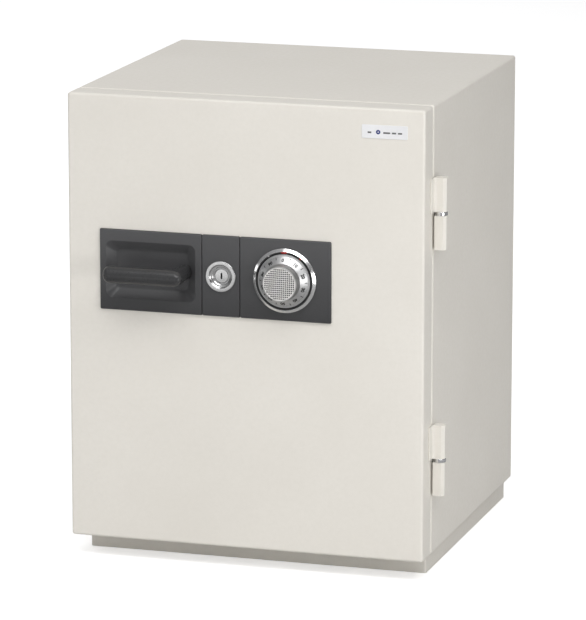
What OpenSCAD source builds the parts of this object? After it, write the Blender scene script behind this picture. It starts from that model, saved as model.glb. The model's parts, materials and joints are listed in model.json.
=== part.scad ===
// Fire-resistant office safe with one hinged door, a turn-down lever, a key lock and a dial lock.
// Millimetres. The origin is the middle of the plinth's underside, the door faces -Y and +Z is up.
// At rest the door is shut, the lever is level and every bolt is drawn back.

/* [Cabinet] */
// Width of the cabinet and of the door
body_w = 482; // [470:1:520]
// Height of the cabinet above the plinth, which is also the door's height
body_h = 594; // [580:1:640]
// Depth of the cabinet behind the door
body_d = 422; // [400:1:460]
// Thickness of the insulated walls
wall = 56; // [52:1:60]
// Thickness of the outer sheet steel
sheet = 2; // [1.6:0.1:2.4]
// Radius of the folded outer edges
edge_r = 3.5; // [2.5:0.5:4.5]
// Width of the painted face around the doorway
face_w = 22; // [20:1:24]
// Depth of the doorway's rebate behind that face
rebate_d = 33; // [32:1:40]

/* [Plinth] */
// Height of the plinth
plinth_h = 28.5; // [20:0.5:40]
// How far the plinth stands back at the front and the sides
plinth_inset = 9; // [5:1:15]
// How far the plinth stands forward of the cabinet's back
plinth_back_inset = 5; // [3:1:12]

/* [Door] */
// Thickness of the door slab
door_t = 40; // [36:1:44]
// Gap between the shut door and the cabinet
door_gap = 2; // [1.8:0.1:3]
// Clearance around the door's plug in the rebate
plug_gap = 4; // [3.5:0.5:5]

/* [Hinges] */
// Distance from the cabinet's side to the hinge axis
hinge_out = 9.5; // [9:0.5:12]
// Distance from the cabinet's front edge back to the hinge axis
hinge_back = 5; // [4:0.5:6]
// Height of the lower hinge's washer above the ground
hinge_low_z = 156; // [130:1:190]
// Height of the upper hinge's washer above the ground
hinge_high_z = 482; // [450:1:500]
// Height of one knuckle
knuckle_h = 44.5; // [36:0.5:50]
// Width of a knuckle across its flats
knuckle_w = 15.5; // [14:0.5:16]
// Radius of the hinge pin
pin_r = 4; // [3:0.5:4.5]
// Running clearance between a moving part and its bore
run = 0.06; // [0.04:0.01:0.08]

/* [Lock plates] */
// Height of the lever, key and dial axes above the ground
lock_z = 391.8; // [380:0.1:400]
// Height of the three plates
plate_h = 107.4; // [104:0.1:112]
// How far the plates stand out from the door
plate_t = 3; // [2.5:0.5:4]
// Left edge of the lever plate
plate_left = -197.3; // [-200:0.1:-196]
// Joint between the lever plate and the key plate
plate_mid = -57; // [-58:0.1:-56]
// Joint between the key plate and the dial plate
plate_right = -5.4; // [-6:0.1:-5]
// Right edge of the dial plate
plate_end = 117.6; // [116:0.1:124]

/* [Lever] */
// Distance of the lever's axis from the door's centre line
lever_x = -83.6; // [-85:0.1:-82]
// Left end of the lever's bar
bar_left = -181.5; // [-182:0.1:-178]
// Right end of the lever's bar
bar_right = -72.2; // [-73:0.1:-71]
// Radius of the lever's bar
bar_r = 11.25; // [10:0.25:12]
// Distance of the bar's centre line from the door's face
bar_out = 33; // [30:1:36]
// Radius of the lever's neck
neck_r = 9.75; // [9:0.25:10.5]
// Angle that the lever turns through
lever_turn = 60; // [50:1:60]
// Radius of the crank, which is also the travel of the bolts over 60 degrees
crank_r = 14; // [14:0.5:14.5]

/* [Key lock] */
// Distance of the key's axis from the door's centre line
key_x = -31; // [-32:0.5:-30]
// Radius of the key's bright surround
key_rim_r = 20.5; // [19:0.5:22]
// Radius of the turning plug
key_plug_r = 10; // [9:0.5:10]

/* [Dial lock] */
// Distance of the dial's axis from the door's centre line
dial_x = 56; // [54:0.5:58]
// Outer radius of the bright bezel
bezel_r = 42.5; // [41:0.5:44]
// Outer radius of the turning dial
dial_r = 35.3; // [34:0.1:35.5]
// Number of combination wheels
wheels = 3; // [1:1:3]

/* [Inside] */
// Height of the shelf above the cabinet's inner floor
shelf_up = 260; // [100:5:360]
// Thickness of the folded shelf
shelf_t = 18; // [14:1:24]

/* [Hidden] */
$fn = 72;
eps = 0.5;                                   // how far a cutter runs past a face

// Colours
ivory = [0.86, 0.85, 0.82];
dark = [0.25, 0.25, 0.26];
bright = [0.78, 0.79, 0.8];
steel = [0.6, 0.61, 0.63];
mineral = [0.74, 0.72, 0.66];
gasket = [0.15, 0.15, 0.15];
bronze = [0.72, 0.55, 0.3];

// Cabinet
half_w = body_w / 2;
plinth_d = body_d - plinth_inset - plinth_back_inset;
cab_front = -plinth_d / 2 - plinth_inset;
cab_back = cab_front + body_d;
cab_low = plinth_h;
cab_high = plinth_h + body_h;
mouth_x = half_w - face_w;                   // half width of the rebate's mouth
mouth_low = cab_low + face_w;
mouth_high = cab_high - face_w;
step_y = cab_front + rebate_d;               // face that the door's plug closes against
room_x = half_w - wall;                      // half width of the storage space
room_low = cab_low + wall;
room_high = cab_high - wall;
room_back = cab_back - wall;
liner_t = 1.5;
back_recess = 2;

// Door
door_back = cab_front - door_gap;
door_front = door_back - door_t;
plug_x = mouth_x - plug_gap;
plug_low = mouth_low + plug_gap;
plug_high = mouth_high - plug_gap;
plug_back = step_y - 3;
pan_t = 1.5;
bay_x = [-plug_x + sheet, 106];              // space for the boltwork inside the plug
bay_z = [lock_z - 165, lock_z + 165];
access_x = [-178, 100];
access_z = [bay_z[0] + 20, bay_z[1] - 18];
cover_lap = 6;

// Hinges
hinge_x = half_w + hinge_out;
hinge_y = cab_front + hinge_back;
washer_r = 8.2;
washer_t = 5.2;
leaf_t = 2;

// Boltwork layers, from the door's back towards the room
crank_y = [door_back + 3, door_back + 9];
slide_y = [door_back + 11, door_back + 17];
pin_y = slide_y[1] + 1;
slide_mid = (slide_y[0] + slide_y[1]) / 2;
bolt_r = 8;
bolt_throw = 2 * crank_r * sin(lever_turn / 2);
bolt_tip = -plug_x + 0.5;                    // drawn back flush with the plug's side
bolt_root = bolt_tip + 28.5;
bolt_zs = [lock_z - 150, lock_z, lock_z + 150];
beam_low = lock_z + 60;                      // underside of the carriage's long arm
beam_h = 12;
lug_w = 6;
lug_gap = 0.6;
nose_w = bolt_throw - lug_w - 2 * lug_gap;   // a blocking nose fills the space between the lug's two places
lug_drop = 14;
crank_pin_r = 4;
crank_slack = 0.3;

// Lever plate
face_y = door_front - plate_t;
dish_floor = door_front + 8;
dish_shell = 1.5;
shaft_r = 6;
bush_r = 9;
shaft_end = crank_y[1] + 1;

// Key lock
cylinder_r = 14;
key_pin_r = 2.5;
key_pin_throw = 6;
key_turn = 90;
key_lift = 2 * key_pin_throw * sin(key_turn / 2);
key_bolt_t = 4;

// Dial lock
spindle_r = 4;
case_x = [dial_x - 33, dial_x + 33];
case_z = [lock_z - 40, beam_low - lug_drop - 4];
case_y = [door_back, door_back + 24];
case_t = 3;
post_r = 7;
wheel_r = 22;
wheel_t = 2.5;
wheel_pitch = 3.7;

// ---------- shapes that repeat ----------

// A block between two limits on each axis
module block(x, y, z)
    translate([x[0], y[0], z[0]]) cube([x[1] - x[0], y[1] - y[0], z[1] - z[0]]);

// A centred outline with round corners
module round_rect(w, h, r) {
    square([w - 2 * r, h], center = true);
    square([w, h - 2 * r], center = true);
    for (i = [-1, 1], j = [-1, 1])
        translate([i * (w / 2 - r), j * (h / 2 - r)]) circle(r);
}

// An outline with round corners between two limits on each axis
module plate_outline(x, z, r)
    translate([(x[0] + x[1]) / 2, (z[0] + z[1]) / 2]) round_rect(x[1] - x[0], z[1] - z[0], r);

// Stands an XZ outline up and gives it a thickness from y0 back to y1
module upright(y0, y1)
    translate([0, y1, 0]) rotate([90, 0, 0]) linear_extrude(y1 - y0) children();

// A block with every edge rounded
module soft_block(x, y, z, r) {
    w = x[1] - x[0];
    d = y[1] - y[0];
    h = z[1] - z[0];
    translate([x[0] + w / 2, y[0] + d / 2, z[0] + h / 2]) intersection() {
        linear_extrude(h, center = true) round_rect(w, d, r);
        rotate([90, 0, 0]) linear_extrude(d, center = true) round_rect(w, h, r);
        rotate([90, 0, 90]) linear_extrude(w, center = true) round_rect(d, h, r);
    }
}

// A rod along Y at (x, z)
module rod(x, z, r, y)
    translate([x, y[1], z]) rotate([90, 0, 0]) cylinder(r = r, h = y[1] - y[0]);

// A tube along Y at (x, z)
module tube(x, z, outer, inner, y) difference() {
    rod(x, z, outer, y);
    rod(x, z, inner, [y[0] - eps, y[1] + eps]);
}

// A turned piece about Y at (x, z): points are [radius, height in front of y]
module turned(x, y, z, points)
    translate([x, y, z]) rotate([90, 0, 0]) rotate_extrude() polygon(points);

// A ring of strip around the doorway, inset from the cabinet's outside
module doorway_ring(outer_inset, inner_inset, y) difference() {
    block([-half_w + outer_inset, half_w - outer_inset], y,
          [cab_low + outer_inset, cab_high - outer_inset]);
    block([-half_w + inner_inset, half_w - inner_inset], [y[0] - eps, y[1] + eps],
          [cab_low + inner_inset, cab_high - inner_inset]);
}

// ---------- cabinet ----------

module outer_shell() color(ivory) difference() {
    soft_block([-half_w, half_w], [cab_front, cab_back], [cab_low, cab_high], edge_r);
    block([-half_w + sheet, half_w - sheet], [cab_front + sheet, cab_back + eps],
          [cab_low + sheet, cab_high - sheet]);
    block([-mouth_x, mouth_x], [cab_front - eps, cab_front + sheet + eps], [mouth_low, mouth_high]);
}

module back_panel() color(ivory)
    block([-half_w + sheet, half_w - sheet], [cab_back - back_recess - sheet, cab_back - back_recess],
          [cab_low + sheet, cab_high - sheet]);

module plinth() color(ivory) difference() {
    linear_extrude(plinth_h) round_rect(body_w - 2 * plinth_inset, plinth_d, 2.5);
    translate([0, 0, sheet]) linear_extrude(plinth_h)
        square([body_w - 2 * plinth_inset - 2 * sheet, plinth_d - 2 * sheet], center = true);
}

// Bores for the three bolts through the left jamb
module bolt_bores(r, x) for (z = bolt_zs)
    translate([x[0], slide_mid, z]) rotate([0, 90, 0]) cylinder(r = r, h = x[1] - x[0]);

// The slot that takes the hinge-side dead bar
dead_z = [lock_z - 217, lock_z + 83];
module dead_bar_slot(x)
    block(x, [step_y - 20, step_y - 1], [dead_z[0] - 3, dead_z[1] + 3]);

module cabinet_insulation() color(mineral) difference() {
    block([-half_w + sheet, half_w - sheet], [cab_front + sheet, cab_back - back_recess - sheet],
          [cab_low + sheet, cab_high - sheet]);
    block([-mouth_x - sheet, mouth_x + sheet], [cab_front, step_y + sheet],
          [mouth_low - sheet, mouth_high + sheet]);
    block([-room_x - liner_t, room_x + liner_t], [step_y, room_back + liner_t],
          [room_low - liner_t, room_high + liner_t]);
    block([-mouth_x - sheet - 3, -mouth_x], [cab_front + sheet, slide_mid + 11],
          [bolt_zs[0] - 21, bolt_zs[2] + 21]);
    bolt_bores(bolt_r + 2, [-mouth_x - 14, -mouth_x]);
    dead_bar_slot([mouth_x, mouth_x + 7]);
}

module jamb_frame() color(ivory) difference() {
    block([-mouth_x - sheet, mouth_x + sheet], [cab_front + sheet, step_y + sheet],
          [mouth_low - sheet, mouth_high + sheet]);
    block([-mouth_x, mouth_x], [cab_front, step_y], [mouth_low, mouth_high]);
    block([-room_x, room_x], [cab_front, step_y + sheet + eps], [room_low, room_high]);
    bolt_bores(bolt_r + 1.5, [-mouth_x - sheet - eps, -mouth_x + eps]);
    dead_bar_slot([mouth_x - eps, mouth_x + sheet + eps]);
}

module inner_liner() color(ivory) difference() {
    block([-room_x - liner_t, room_x + liner_t], [step_y + sheet, room_back + liner_t],
          [room_low - liner_t, room_high + liner_t]);
    block([-room_x, room_x], [step_y, room_back], [room_low, room_high]);
}

module frame_seal() color(gasket)
    doorway_ring(9, 17, [cab_front - door_gap + 0.5, cab_front]);

module bolt_keeper() color(steel) difference() {
    block([-mouth_x - sheet - 3, -mouth_x - sheet], [cab_front + sheet, slide_mid + 11],
          [bolt_zs[0] - 20, bolt_zs[2] + 20]);
    bolt_bores(bolt_r + 1.5, [-mouth_x - sheet - 3 - eps, -mouth_x]);
}

// ---------- shelf ----------

shelf_z = room_low + shelf_up;
rail_t = 3;
rail_w = 14;
rail_ys = [step_y + 40, room_back - 54];
clip_drop = 10;

module shelf_rails() color(steel) for (side = [-1, 1], y = rail_ys) difference() {
    block(side > 0 ? [room_x - rail_t, room_x] : [-room_x, -room_x + rail_t],
          [y, y + rail_w], [room_low + 30, room_high - 30]);
    for (z = [room_low + 50 : 30 : room_high - 50])
        block(side > 0 ? [room_x - rail_t - eps, room_x + eps] : [-room_x - eps, -room_x + rail_t + eps],
              [y + 5, y + 9], [z, z + 10]);
}

module shelf_clips() color(steel) for (side = [-1, 1], y = rail_ys) {
    wall_x = room_x - rail_t;
    lip = side > 0 ? [wall_x - 2, wall_x] : [-wall_x, -wall_x + 2];
    foot = side > 0 ? [wall_x - 12, wall_x - 2] : [-wall_x + 2, -wall_x + 12];
    block(lip, [y + 1, y + rail_w - 1], [shelf_z - clip_drop, shelf_z]);
    block(foot, [y + 1, y + rail_w - 1], [shelf_z - 2, shelf_z]);
}

module shelf() color(ivory) {
    half = room_x - rail_t - 2.5;
    y = [step_y + 14, room_back - 6];
    difference() {
        block([-half, half], y, [shelf_z, shelf_z + shelf_t]);
        block([-half - eps, half + eps], [y[0] + liner_t, y[1] - liner_t],
              [shelf_z - eps, shelf_z + shelf_t - liner_t]);
    }
    for (x = [-half + 0.5, half - 2])
        block([x, x + liner_t], [y[0] + liner_t, y[1] - liner_t], [shelf_z, shelf_z + shelf_t - liner_t]);
}

// ---------- hinges ----------

// Outline of the half on the door: leaf on the door's side, faired into an octagonal barrel
function door_half() = let (h = knuckle_w / 2, c = h - 4, w = -hinge_out, l = w + leaf_t) [
    [w, -21], [l, -21], [l, -12], [-7, -10], [-6, -8.6], [-h + c, -h],
    [h - c, -h], [h, -h + c], [h, h - c], [h - c, h], [-h + c, h], [-h, h - c], [-h, -3], [w, -3]];

// Outline of the half on the cabinet: square inner front corner, leaf on the side behind the axis
function cabinet_half() = let (h = knuckle_w / 2, c = h - 4, w = -hinge_out, l = w + leaf_t) [
    [-h, -h], [h - c, -h], [h, -h + c], [h, h - c], [h - c, h], [-5, h], [-6, 9], [l, 14], [l, 24],
    [w, 24], [w, 1], [-h, 1]];

// One hinge half with a blind bore: bore is [start, end, radius] along Z
module knuckle(z, outline, bore) translate([hinge_x, hinge_y, z]) difference() {
    linear_extrude(knuckle_h) polygon(outline);
    translate([0, 0, bore[0]]) cylinder(r = bore[2], h = bore[1] - bore[0]);
}

module door_knuckle(z) color(ivory)
    knuckle(z + washer_t / 2 + 0.1, door_half(), [-eps, knuckle_h - 4, pin_r + run]);

module body_knuckle(z) color(ivory)
    knuckle(z - washer_t / 2 - knuckle_h, cabinet_half(), [4, knuckle_h + eps, pin_r]);

module hinge_pin(z) color(steel)
    translate([hinge_x, hinge_y, z - washer_t / 2 - knuckle_h + 4])
        cylinder(r = pin_r, h = knuckle_h * 2 + washer_t - 10);

module hinge_washer(z) color(bright) translate([hinge_x, hinge_y, z]) difference() {
    cylinder(r = washer_r, h = washer_t, center = true);
    cylinder(r = pin_r, h = washer_t + 1, center = true);
}

module upper_body_knuckle() body_knuckle(hinge_high_z);
module lower_body_knuckle() body_knuckle(hinge_low_z);
module upper_door_knuckle() door_knuckle(hinge_high_z);
module lower_door_knuckle() door_knuckle(hinge_low_z);
module upper_hinge_pin() hinge_pin(hinge_high_z);
module lower_hinge_pin() hinge_pin(hinge_low_z);
module upper_hinge_washer() hinge_washer(hinge_high_z);
module lower_hinge_washer() hinge_washer(hinge_low_z);

// ---------- door ----------

dish_x = [-188.9, -66];                      // mouth of the finger recess
dish_z = [lock_z - 37.4, lock_z + 38.4];
dish_slope = 12.5;                           // how far its walls run in on the way to the floor

// The finger recess, larger all round by grow
module dish(grow) hull() {
    upright(face_y - eps, face_y)
        plate_outline([dish_x[0] - grow, dish_x[1] + grow], [dish_z[0] - grow, dish_z[1] + grow], 9, $fn = 32);
    upright(dish_floor - eps + grow, dish_floor + grow)
        plate_outline([dish_x[0] + dish_slope - grow, dish_x[1] - dish_slope + grow],
                      [dish_z[0] + dish_slope - grow, dish_z[1] - dish_slope + grow], 5, $fn = 32);
}

// Passages through the door for the recess, the lever, the key and the dial
module door_passages(extra) {
    y = [door_front - 1, door_back + 1];
    block([dish_x[0] - 2 - extra, dish_x[1] + 2 + extra], [door_front - 1, dish_floor + 3 + extra],
          [dish_z[0] - 2 - extra, dish_z[1] + 2 + extra]);
    rod(lever_x, lock_z, bush_r, y);
    rod(key_x, lock_z, cylinder_r, y);
    rod(dial_x, lock_z, bush_r, y);
}

module door_skin() color(ivory) difference() {
    soft_block([-half_w, half_w], [door_front, door_back], [cab_low, cab_high], edge_r);
    block([-half_w + sheet, half_w - sheet], [door_front + sheet, door_back + eps],
          [cab_low + sheet, cab_high - sheet]);
    door_passages(0);
}

module door_back_plate() color(ivory) difference() {
    block([-half_w + sheet, half_w - sheet], [door_back - sheet, door_back], [cab_low + sheet, cab_high - sheet]);
    rod(lever_x, lock_z, bush_r, [door_back - sheet - 1, door_back + 1]);
    rod(key_x, lock_z, cylinder_r, [door_back - sheet - 1, door_back + 1]);
    rod(dial_x, lock_z, bush_r, [door_back - sheet - 1, door_back + 1]);
}

module door_insulation() color(mineral) difference() {
    block([-half_w + sheet, half_w - sheet], [door_front + sheet, door_back - sheet],
          [cab_low + sheet, cab_high - sheet]);
    door_passages(0);
}

module plug_pan() color(ivory) difference() {
    block([-plug_x, plug_x], [door_back, plug_back], [plug_low, plug_high]);
    block([-plug_x + sheet, plug_x - sheet], [door_back - eps, plug_back - pan_t],
          [plug_low + sheet, plug_high - sheet]);
    block(access_x, [plug_back - pan_t - eps, plug_back + eps], access_z);
    bolt_bores(bolt_r + 1, [-plug_x - eps, -plug_x + sheet + eps]);
}

module plug_insulation() color(mineral) difference() {
    block([-plug_x + sheet, plug_x - sheet], [door_back, plug_back - pan_t],
          [plug_low + sheet, plug_high - sheet]);
    block([bay_x[0] - eps, bay_x[1]], [door_back - eps, plug_back], bay_z);
}

cover_x = [access_x[0] - cover_lap, access_x[1] + cover_lap];
cover_z = [access_z[0] - cover_lap, access_z[1] + cover_lap];
screw_xs = [cover_x[0] + 3, 0, cover_x[1] - 3];
screw_zs = [cover_z[0] + 3, lock_z, cover_z[1] - 3];

module back_cover() color(ivory) difference() {
    upright(plug_back, plug_back + 1.2) plate_outline(cover_x, cover_z, 3);
    for (x = screw_xs, z = screw_zs) if (x != 0 || z != lock_z)
        rod(x, z, 1.6, [plug_back - 1, plug_back + 2]);
}

module back_cover_screws() color(steel) for (x = screw_xs, z = screw_zs) if (x != 0 || z != lock_z)
    difference() {
        union() {
            rod(x, z, 1.6, [plug_back, plug_back + 1.3]);
            rod(x, z, 2.8, [plug_back + 1.2, plug_back + 2.4]);
        }
        block([x - 0.4, x + 0.4], [plug_back + 1.9, plug_back + 3], [z - 2, z + 2]);
        block([x - 2, x + 2], [plug_back + 1.9, plug_back + 3], [z - 0.4, z + 0.4]);
    }

module bolt_guide() color(steel) difference() {
    block([bay_x[0], bay_x[0] + 10], [door_back + 2, slide_mid + 12], [bay_z[0] + 1, bay_z[1] - 1]);
    bolt_bores(bolt_r + run, [bay_x[0] - eps, bay_x[0] + 10 + eps]);
}

module dead_bar() color(steel)
    block([plug_x, plug_x + 7.5], [plug_back - 8, plug_back - 2], dead_z);

module plug_seal() color(gasket)
    doorway_ring(33, 49, [plug_back, step_y - 0.3]);

module lining_tubes() color(steel) {
    y = [door_front + sheet, door_back - sheet];
    tube(lever_x, lock_z, bush_r, shaft_r + 1.5, [dish_floor + 12, door_back - 4]);
    tube(dial_x, lock_z, bush_r, bush_r - 1.5, y);
}

// ---------- plates on the door's face ----------

plate_z = [lock_z - plate_h / 2, lock_z + plate_h / 2];

module flat_plate(x) upright(face_y, door_front) plate_outline(x, plate_z, 2);

module handle_plate() color(dark) difference() {
    union() {
        flat_plate([plate_left, plate_mid]);
        intersection() {
            dish(dish_shell);
            block([plate_left, plate_mid], [face_y, door_back], plate_z);
        }
    }
    dish(0);
    rod(lever_x, lock_z, neck_r + 0.6, [face_y - eps, dish_floor]);
    rod(lever_x, lock_z, bush_r, [face_y, dish_floor + 5]);
}

module key_plate() color(dark) difference() {
    flat_plate([plate_mid, plate_right]);
    rod(key_x, lock_z, key_rim_r - 4, [face_y - 1, door_front + 1]);
}

module dial_plate() color(dark) difference() {
    flat_plate([plate_right, plate_end]);
    rod(dial_x, lock_z, bush_r, [face_y - 1, door_front + 1]);
}

module badge() color([0.94, 0.94, 0.95])
    upright(door_front - 0.8, door_front) plate_outline([157.4, 218.2], [cab_high - 39, cab_high - 21.5], 1.5);

// ---------- lever ----------

module handle() color(dark) difference() {
    union() {
        len = bar_right - bar_left;
        translate([bar_left + len / 2, door_front - bar_out, lock_z]) rotate([0, 90, 0]) rotate_extrude()
            intersection() {
                round_rect(2 * bar_r, len, 7);
                translate([0, -len / 2]) square([bar_r, len]);
            }
        rod(lever_x, lock_z, neck_r, [door_front - bar_out, dish_floor - 0.4]);
    }
    rod(lever_x, lock_z, shaft_r, [dish_floor - 24, dish_floor]);
}

module handle_shaft() color(steel) rod(lever_x, lock_z, shaft_r, [dish_floor - 24, shaft_end]);

module handle_bushes() color(bronze) {
    tube(lever_x, lock_z, bush_r, shaft_r + run, [dish_floor, dish_floor + 12]);
    tube(lever_x, lock_z, bush_r, shaft_r + run, [door_back - 4, door_back + 2.8]);
}

// The crank leans half the lever's turn to one side at rest, so its pin moves evenly about the top
module handle_crank() color(steel) translate([lever_x, 0, lock_z]) rotate([0, lever_turn / 2, 0]) difference() {
    union() {
        rod(0, 0, 11, crank_y);
        rod(0, crank_r, 6.5, crank_y);
        block([-6, 6], crank_y, [0, crank_r]);
        rod(0, crank_r, crank_pin_r, [crank_y[0], pin_y]);
    }
    rod(0, 0, shaft_r, [crank_y[0] - 1, crank_y[1] + 1]);
}

module shaft_clip() color(steel) tube(lever_x, lock_z, shaft_r + 2.5, shaft_r - 1, [shaft_end, shaft_end + 0.8]);

// ---------- boltwork ----------

// Where a lug stands at rest, so that it is just right of a nose centred on x
function lug_left(x) = x + nose_w / 2 + lug_gap;

module bolt_carriage() color(steel) {
    slot_x = lever_x + crank_r * sin(lever_turn / 2);
    pin_low = lock_z + crank_r * cos(lever_turn / 2);
    pin_high = lock_z + crank_r;
    slot_r = crank_pin_r + crank_slack;
    upright(slide_y[0], slide_y[1]) difference() {
        union() {
            translate([bolt_root, bay_z[0] + 4]) square([20, bay_z[1] - bay_z[0] - 8]);
            translate([bolt_root, beam_low]) square([lug_left(dial_x) + lug_w - bolt_root, beam_h]);
            translate([slot_x - 16, lock_z + 2]) square([32, beam_low - lock_z]);
            for (x = [key_x, dial_x])
                translate([lug_left(x), beam_low - lug_drop]) square([lug_w, lug_drop + 1]);
        }
        translate([slot_x, pin_low]) circle(slot_r);
        translate([slot_x, pin_high]) circle(slot_r);
        translate([slot_x - slot_r, pin_low]) square([2 * slot_r, pin_high - pin_low]);
    }
}

module locking_bolts() color(bright) for (z = bolt_zs)
    translate([bolt_tip, slide_mid, z]) rotate([0, 90, 0]) rotate_extrude()
        polygon([[0, 0], [bolt_r - 1.5, 0], [bolt_r, 1.5], [bolt_r, bolt_root - bolt_tip],
                 [0, bolt_root - bolt_tip]]);

// ---------- key lock ----------

module key_escutcheon() color(bright)
    turned(key_x, face_y, lock_z, [
        [key_rim_r - 4, -2.5], [key_rim_r - 4, 0], [key_rim_r, 0], [key_rim_r, 1.9], [key_rim_r - 0.6, 2.5],
        [key_rim_r - 4.7, 2.5], [cylinder_r - 1.5, -0.5], [cylinder_r - 3.2, -2.5]]);

module cylinder_body() color(bright)
    tube(key_x, lock_z, cylinder_r, key_plug_r + run, [door_front + 0.2, door_back + 3]);

module key_plug() color(bright) difference() {
    rod(key_x, lock_z, key_plug_r, [door_front - 0.2, door_back + 3.6]);
    block([key_x - 1.3, key_x + 1.3], [door_front - 1, door_front + 24], [lock_z - 4.5, lock_z + 4.5]);
}

module key_cam() color(steel) translate([key_x, 0, lock_z]) rotate([0, key_turn / 2, 0]) {
    rod(0, 0, 9, [door_back + 3.6, door_back + 9]);
    rod(key_pin_throw, 0, key_pin_r, [door_back + 8, pin_y - 1]);
}

key_nose_top = case_z[1] + 1;
key_body_top = lock_z + 8;

module key_bolt() color(steel) {
    low = key_pin_throw * cos(key_turn / 2);
    slot_z = lock_z - key_lift / 2;
    slot_r = key_pin_r + 0.35;
    upright(slide_y[0], slide_y[0] + key_bolt_t) difference() {
        union() {
            translate([key_x - 10, lock_z - 13]) square([20, key_body_top - lock_z + 13]);
            translate([key_x - nose_w / 2, key_body_top - 1]) square([nose_w, key_nose_top - key_body_top + 1]);
        }
        translate([key_x + low, slot_z]) circle(slot_r);
        translate([key_x + key_pin_throw, slot_z]) circle(slot_r);
        translate([key_x + low, slot_z - slot_r]) square([key_pin_throw - low, 2 * slot_r]);
    }
}

module key_bolt_guide() color(steel) difference() {
    block([key_x - 12, key_x + 12], [door_back, slide_y[1]], [lock_z + 19, lock_z + 27]);
    block([key_x - nose_w / 2 - 0.3, key_x + nose_w / 2 + 0.3], [slide_y[0] - 0.3, slide_y[0] + key_bolt_t + 0.3],
          [lock_z + 18, lock_z + 28]);
}

// ---------- dial lock ----------

module dial_bezel() color(bright)
    turned(dial_x, face_y, lock_z, [
        [bezel_r - 6.3, 0], [bezel_r, 0], [bezel_r, 0.8], [bezel_r - 0.5, 1.6], [bezel_r - 5.3, 5.5],
        [bezel_r - 6.3, 5.5]]);

module index_ring() color(gasket)
    turned(dial_x, face_y, lock_z, [[dial_r - 7, 0], [bezel_r - 6.3, 0], [bezel_r - 6.3, 1], [dial_r - 7, 1]]);

module dial_flange() color(bright)
    turned(dial_x, face_y, lock_z, [
        [spindle_r, 1.4], [dial_r - 1, 1.4], [dial_r, 2.4], [dial_r, 5.4], [dial_r - 0.6, 6],
        [24.5, 13.5], [spindle_r, 13.5]]);

module dial_knob() color(bright) difference() {
    turned(dial_x, face_y, lock_z, [
        [0, 13.5], [24.5, 13.5], [24.5, 16], [23.4, 24.4], [22.6, 25.2], [0, 25.2]]);
    rod(dial_x, lock_z, 21.6, [face_y - 26, face_y - 24]);
    rod(dial_x, lock_z, spindle_r, [face_y - 20, face_y]);
}

module dial_cap() color(steel) rod(dial_x, lock_z, 21.6, [face_y - 25.6, face_y - 24]);

module dial_spindle() color(steel) rod(dial_x, lock_z, spindle_r, [face_y - 20, case_y[1] - 4]);

module lock_case() color(bronze) difference() {
    block(case_x, case_y, case_z);
    block([case_x[0] + case_t, case_x[1] - case_t], [case_y[0] + case_t, case_y[1] + eps],
          [case_z[0] + case_t, case_z[1] - case_t]);
    rod(dial_x, lock_z, post_r, [case_y[0] - 1, case_y[0] + case_t + 1]);
    block([dial_x - nose_w / 2 - 0.3, dial_x + nose_w / 2 + 0.3], [slide_y[0] - 0.3, slide_y[1] + 0.3],
          [case_z[1] - case_t - eps, case_z[1] + eps]);
}

module lock_cover() color(bronze) block(case_x, [case_y[1], case_y[1] + 2], case_z);

module wheel_post() color(bronze)
    tube(dial_x, lock_z, post_r, spindle_r + run, [case_y[0], case_y[0] + case_t + wheels * wheel_pitch + 1]);

module combination_wheels() color(bronze) for (i = [0 : wheels - 1]) {
    y = case_y[0] + case_t + 0.8 + i * wheel_pitch;
    difference() {
        rod(dial_x, lock_z, wheel_r, [y, y + wheel_t]);
        rod(dial_x, lock_z, post_r + run, [y - 1, y + wheel_t + 1]);
        block([dial_x - 4, dial_x + 4], [y - 1, y + wheel_t + 1], [lock_z + wheel_r - 5, lock_z + wheel_r + 1]);
    }
}

module drive_cam() color(bronze) {
    y = [case_y[0] + case_t + wheels * wheel_pitch + 1.4, case_y[1] - 4];
    difference() {
        rod(dial_x, lock_z, wheel_r - 4, y);
        rod(dial_x, lock_z, spindle_r, [y[0] - 1, y[1] + 1]);
        block([dial_x - 4, dial_x + 4], [y[0] - 1, y[1] + 1], [lock_z + wheel_r - 9, lock_z + wheel_r]);
    }
}

module lock_bolt() color(steel) {
    body_low = lock_z + wheel_r + 2;
    upright(slide_y[0], slide_y[1]) {
        translate([dial_x - 16, body_low]) square([32, 7]);
        translate([dial_x - nose_w / 2, body_low + 6]) square([nose_w, key_nose_top - body_low - 6]);
    }
}

outer_shell();
back_panel();
plinth();
cabinet_insulation();
jamb_frame();
inner_liner();
frame_seal();
bolt_keeper();
shelf_rails();
shelf_clips();
shelf();
upper_body_knuckle();
lower_body_knuckle();
upper_hinge_pin();
lower_hinge_pin();
upper_hinge_washer();
lower_hinge_washer();
door_skin();
door_back_plate();
door_insulation();
plug_pan();
plug_insulation();
back_cover();
back_cover_screws();
bolt_guide();
dead_bar();
plug_seal();
lining_tubes();
upper_door_knuckle();
lower_door_knuckle();
handle_plate();
key_plate();
dial_plate();
badge();
handle();
handle_shaft();
handle_bushes();
handle_crank();
shaft_clip();
bolt_carriage();
locking_bolts();
key_escutcheon();
cylinder_body();
key_plug();
key_cam();
key_bolt();
key_bolt_guide();
dial_bezel();
index_ring();
dial_flange();
dial_knob();
dial_cap();
dial_spindle();
lock_case();
lock_cover();
wheel_post();
combination_wheels();
drive_cam();
lock_bolt();
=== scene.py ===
import json
import math

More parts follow.
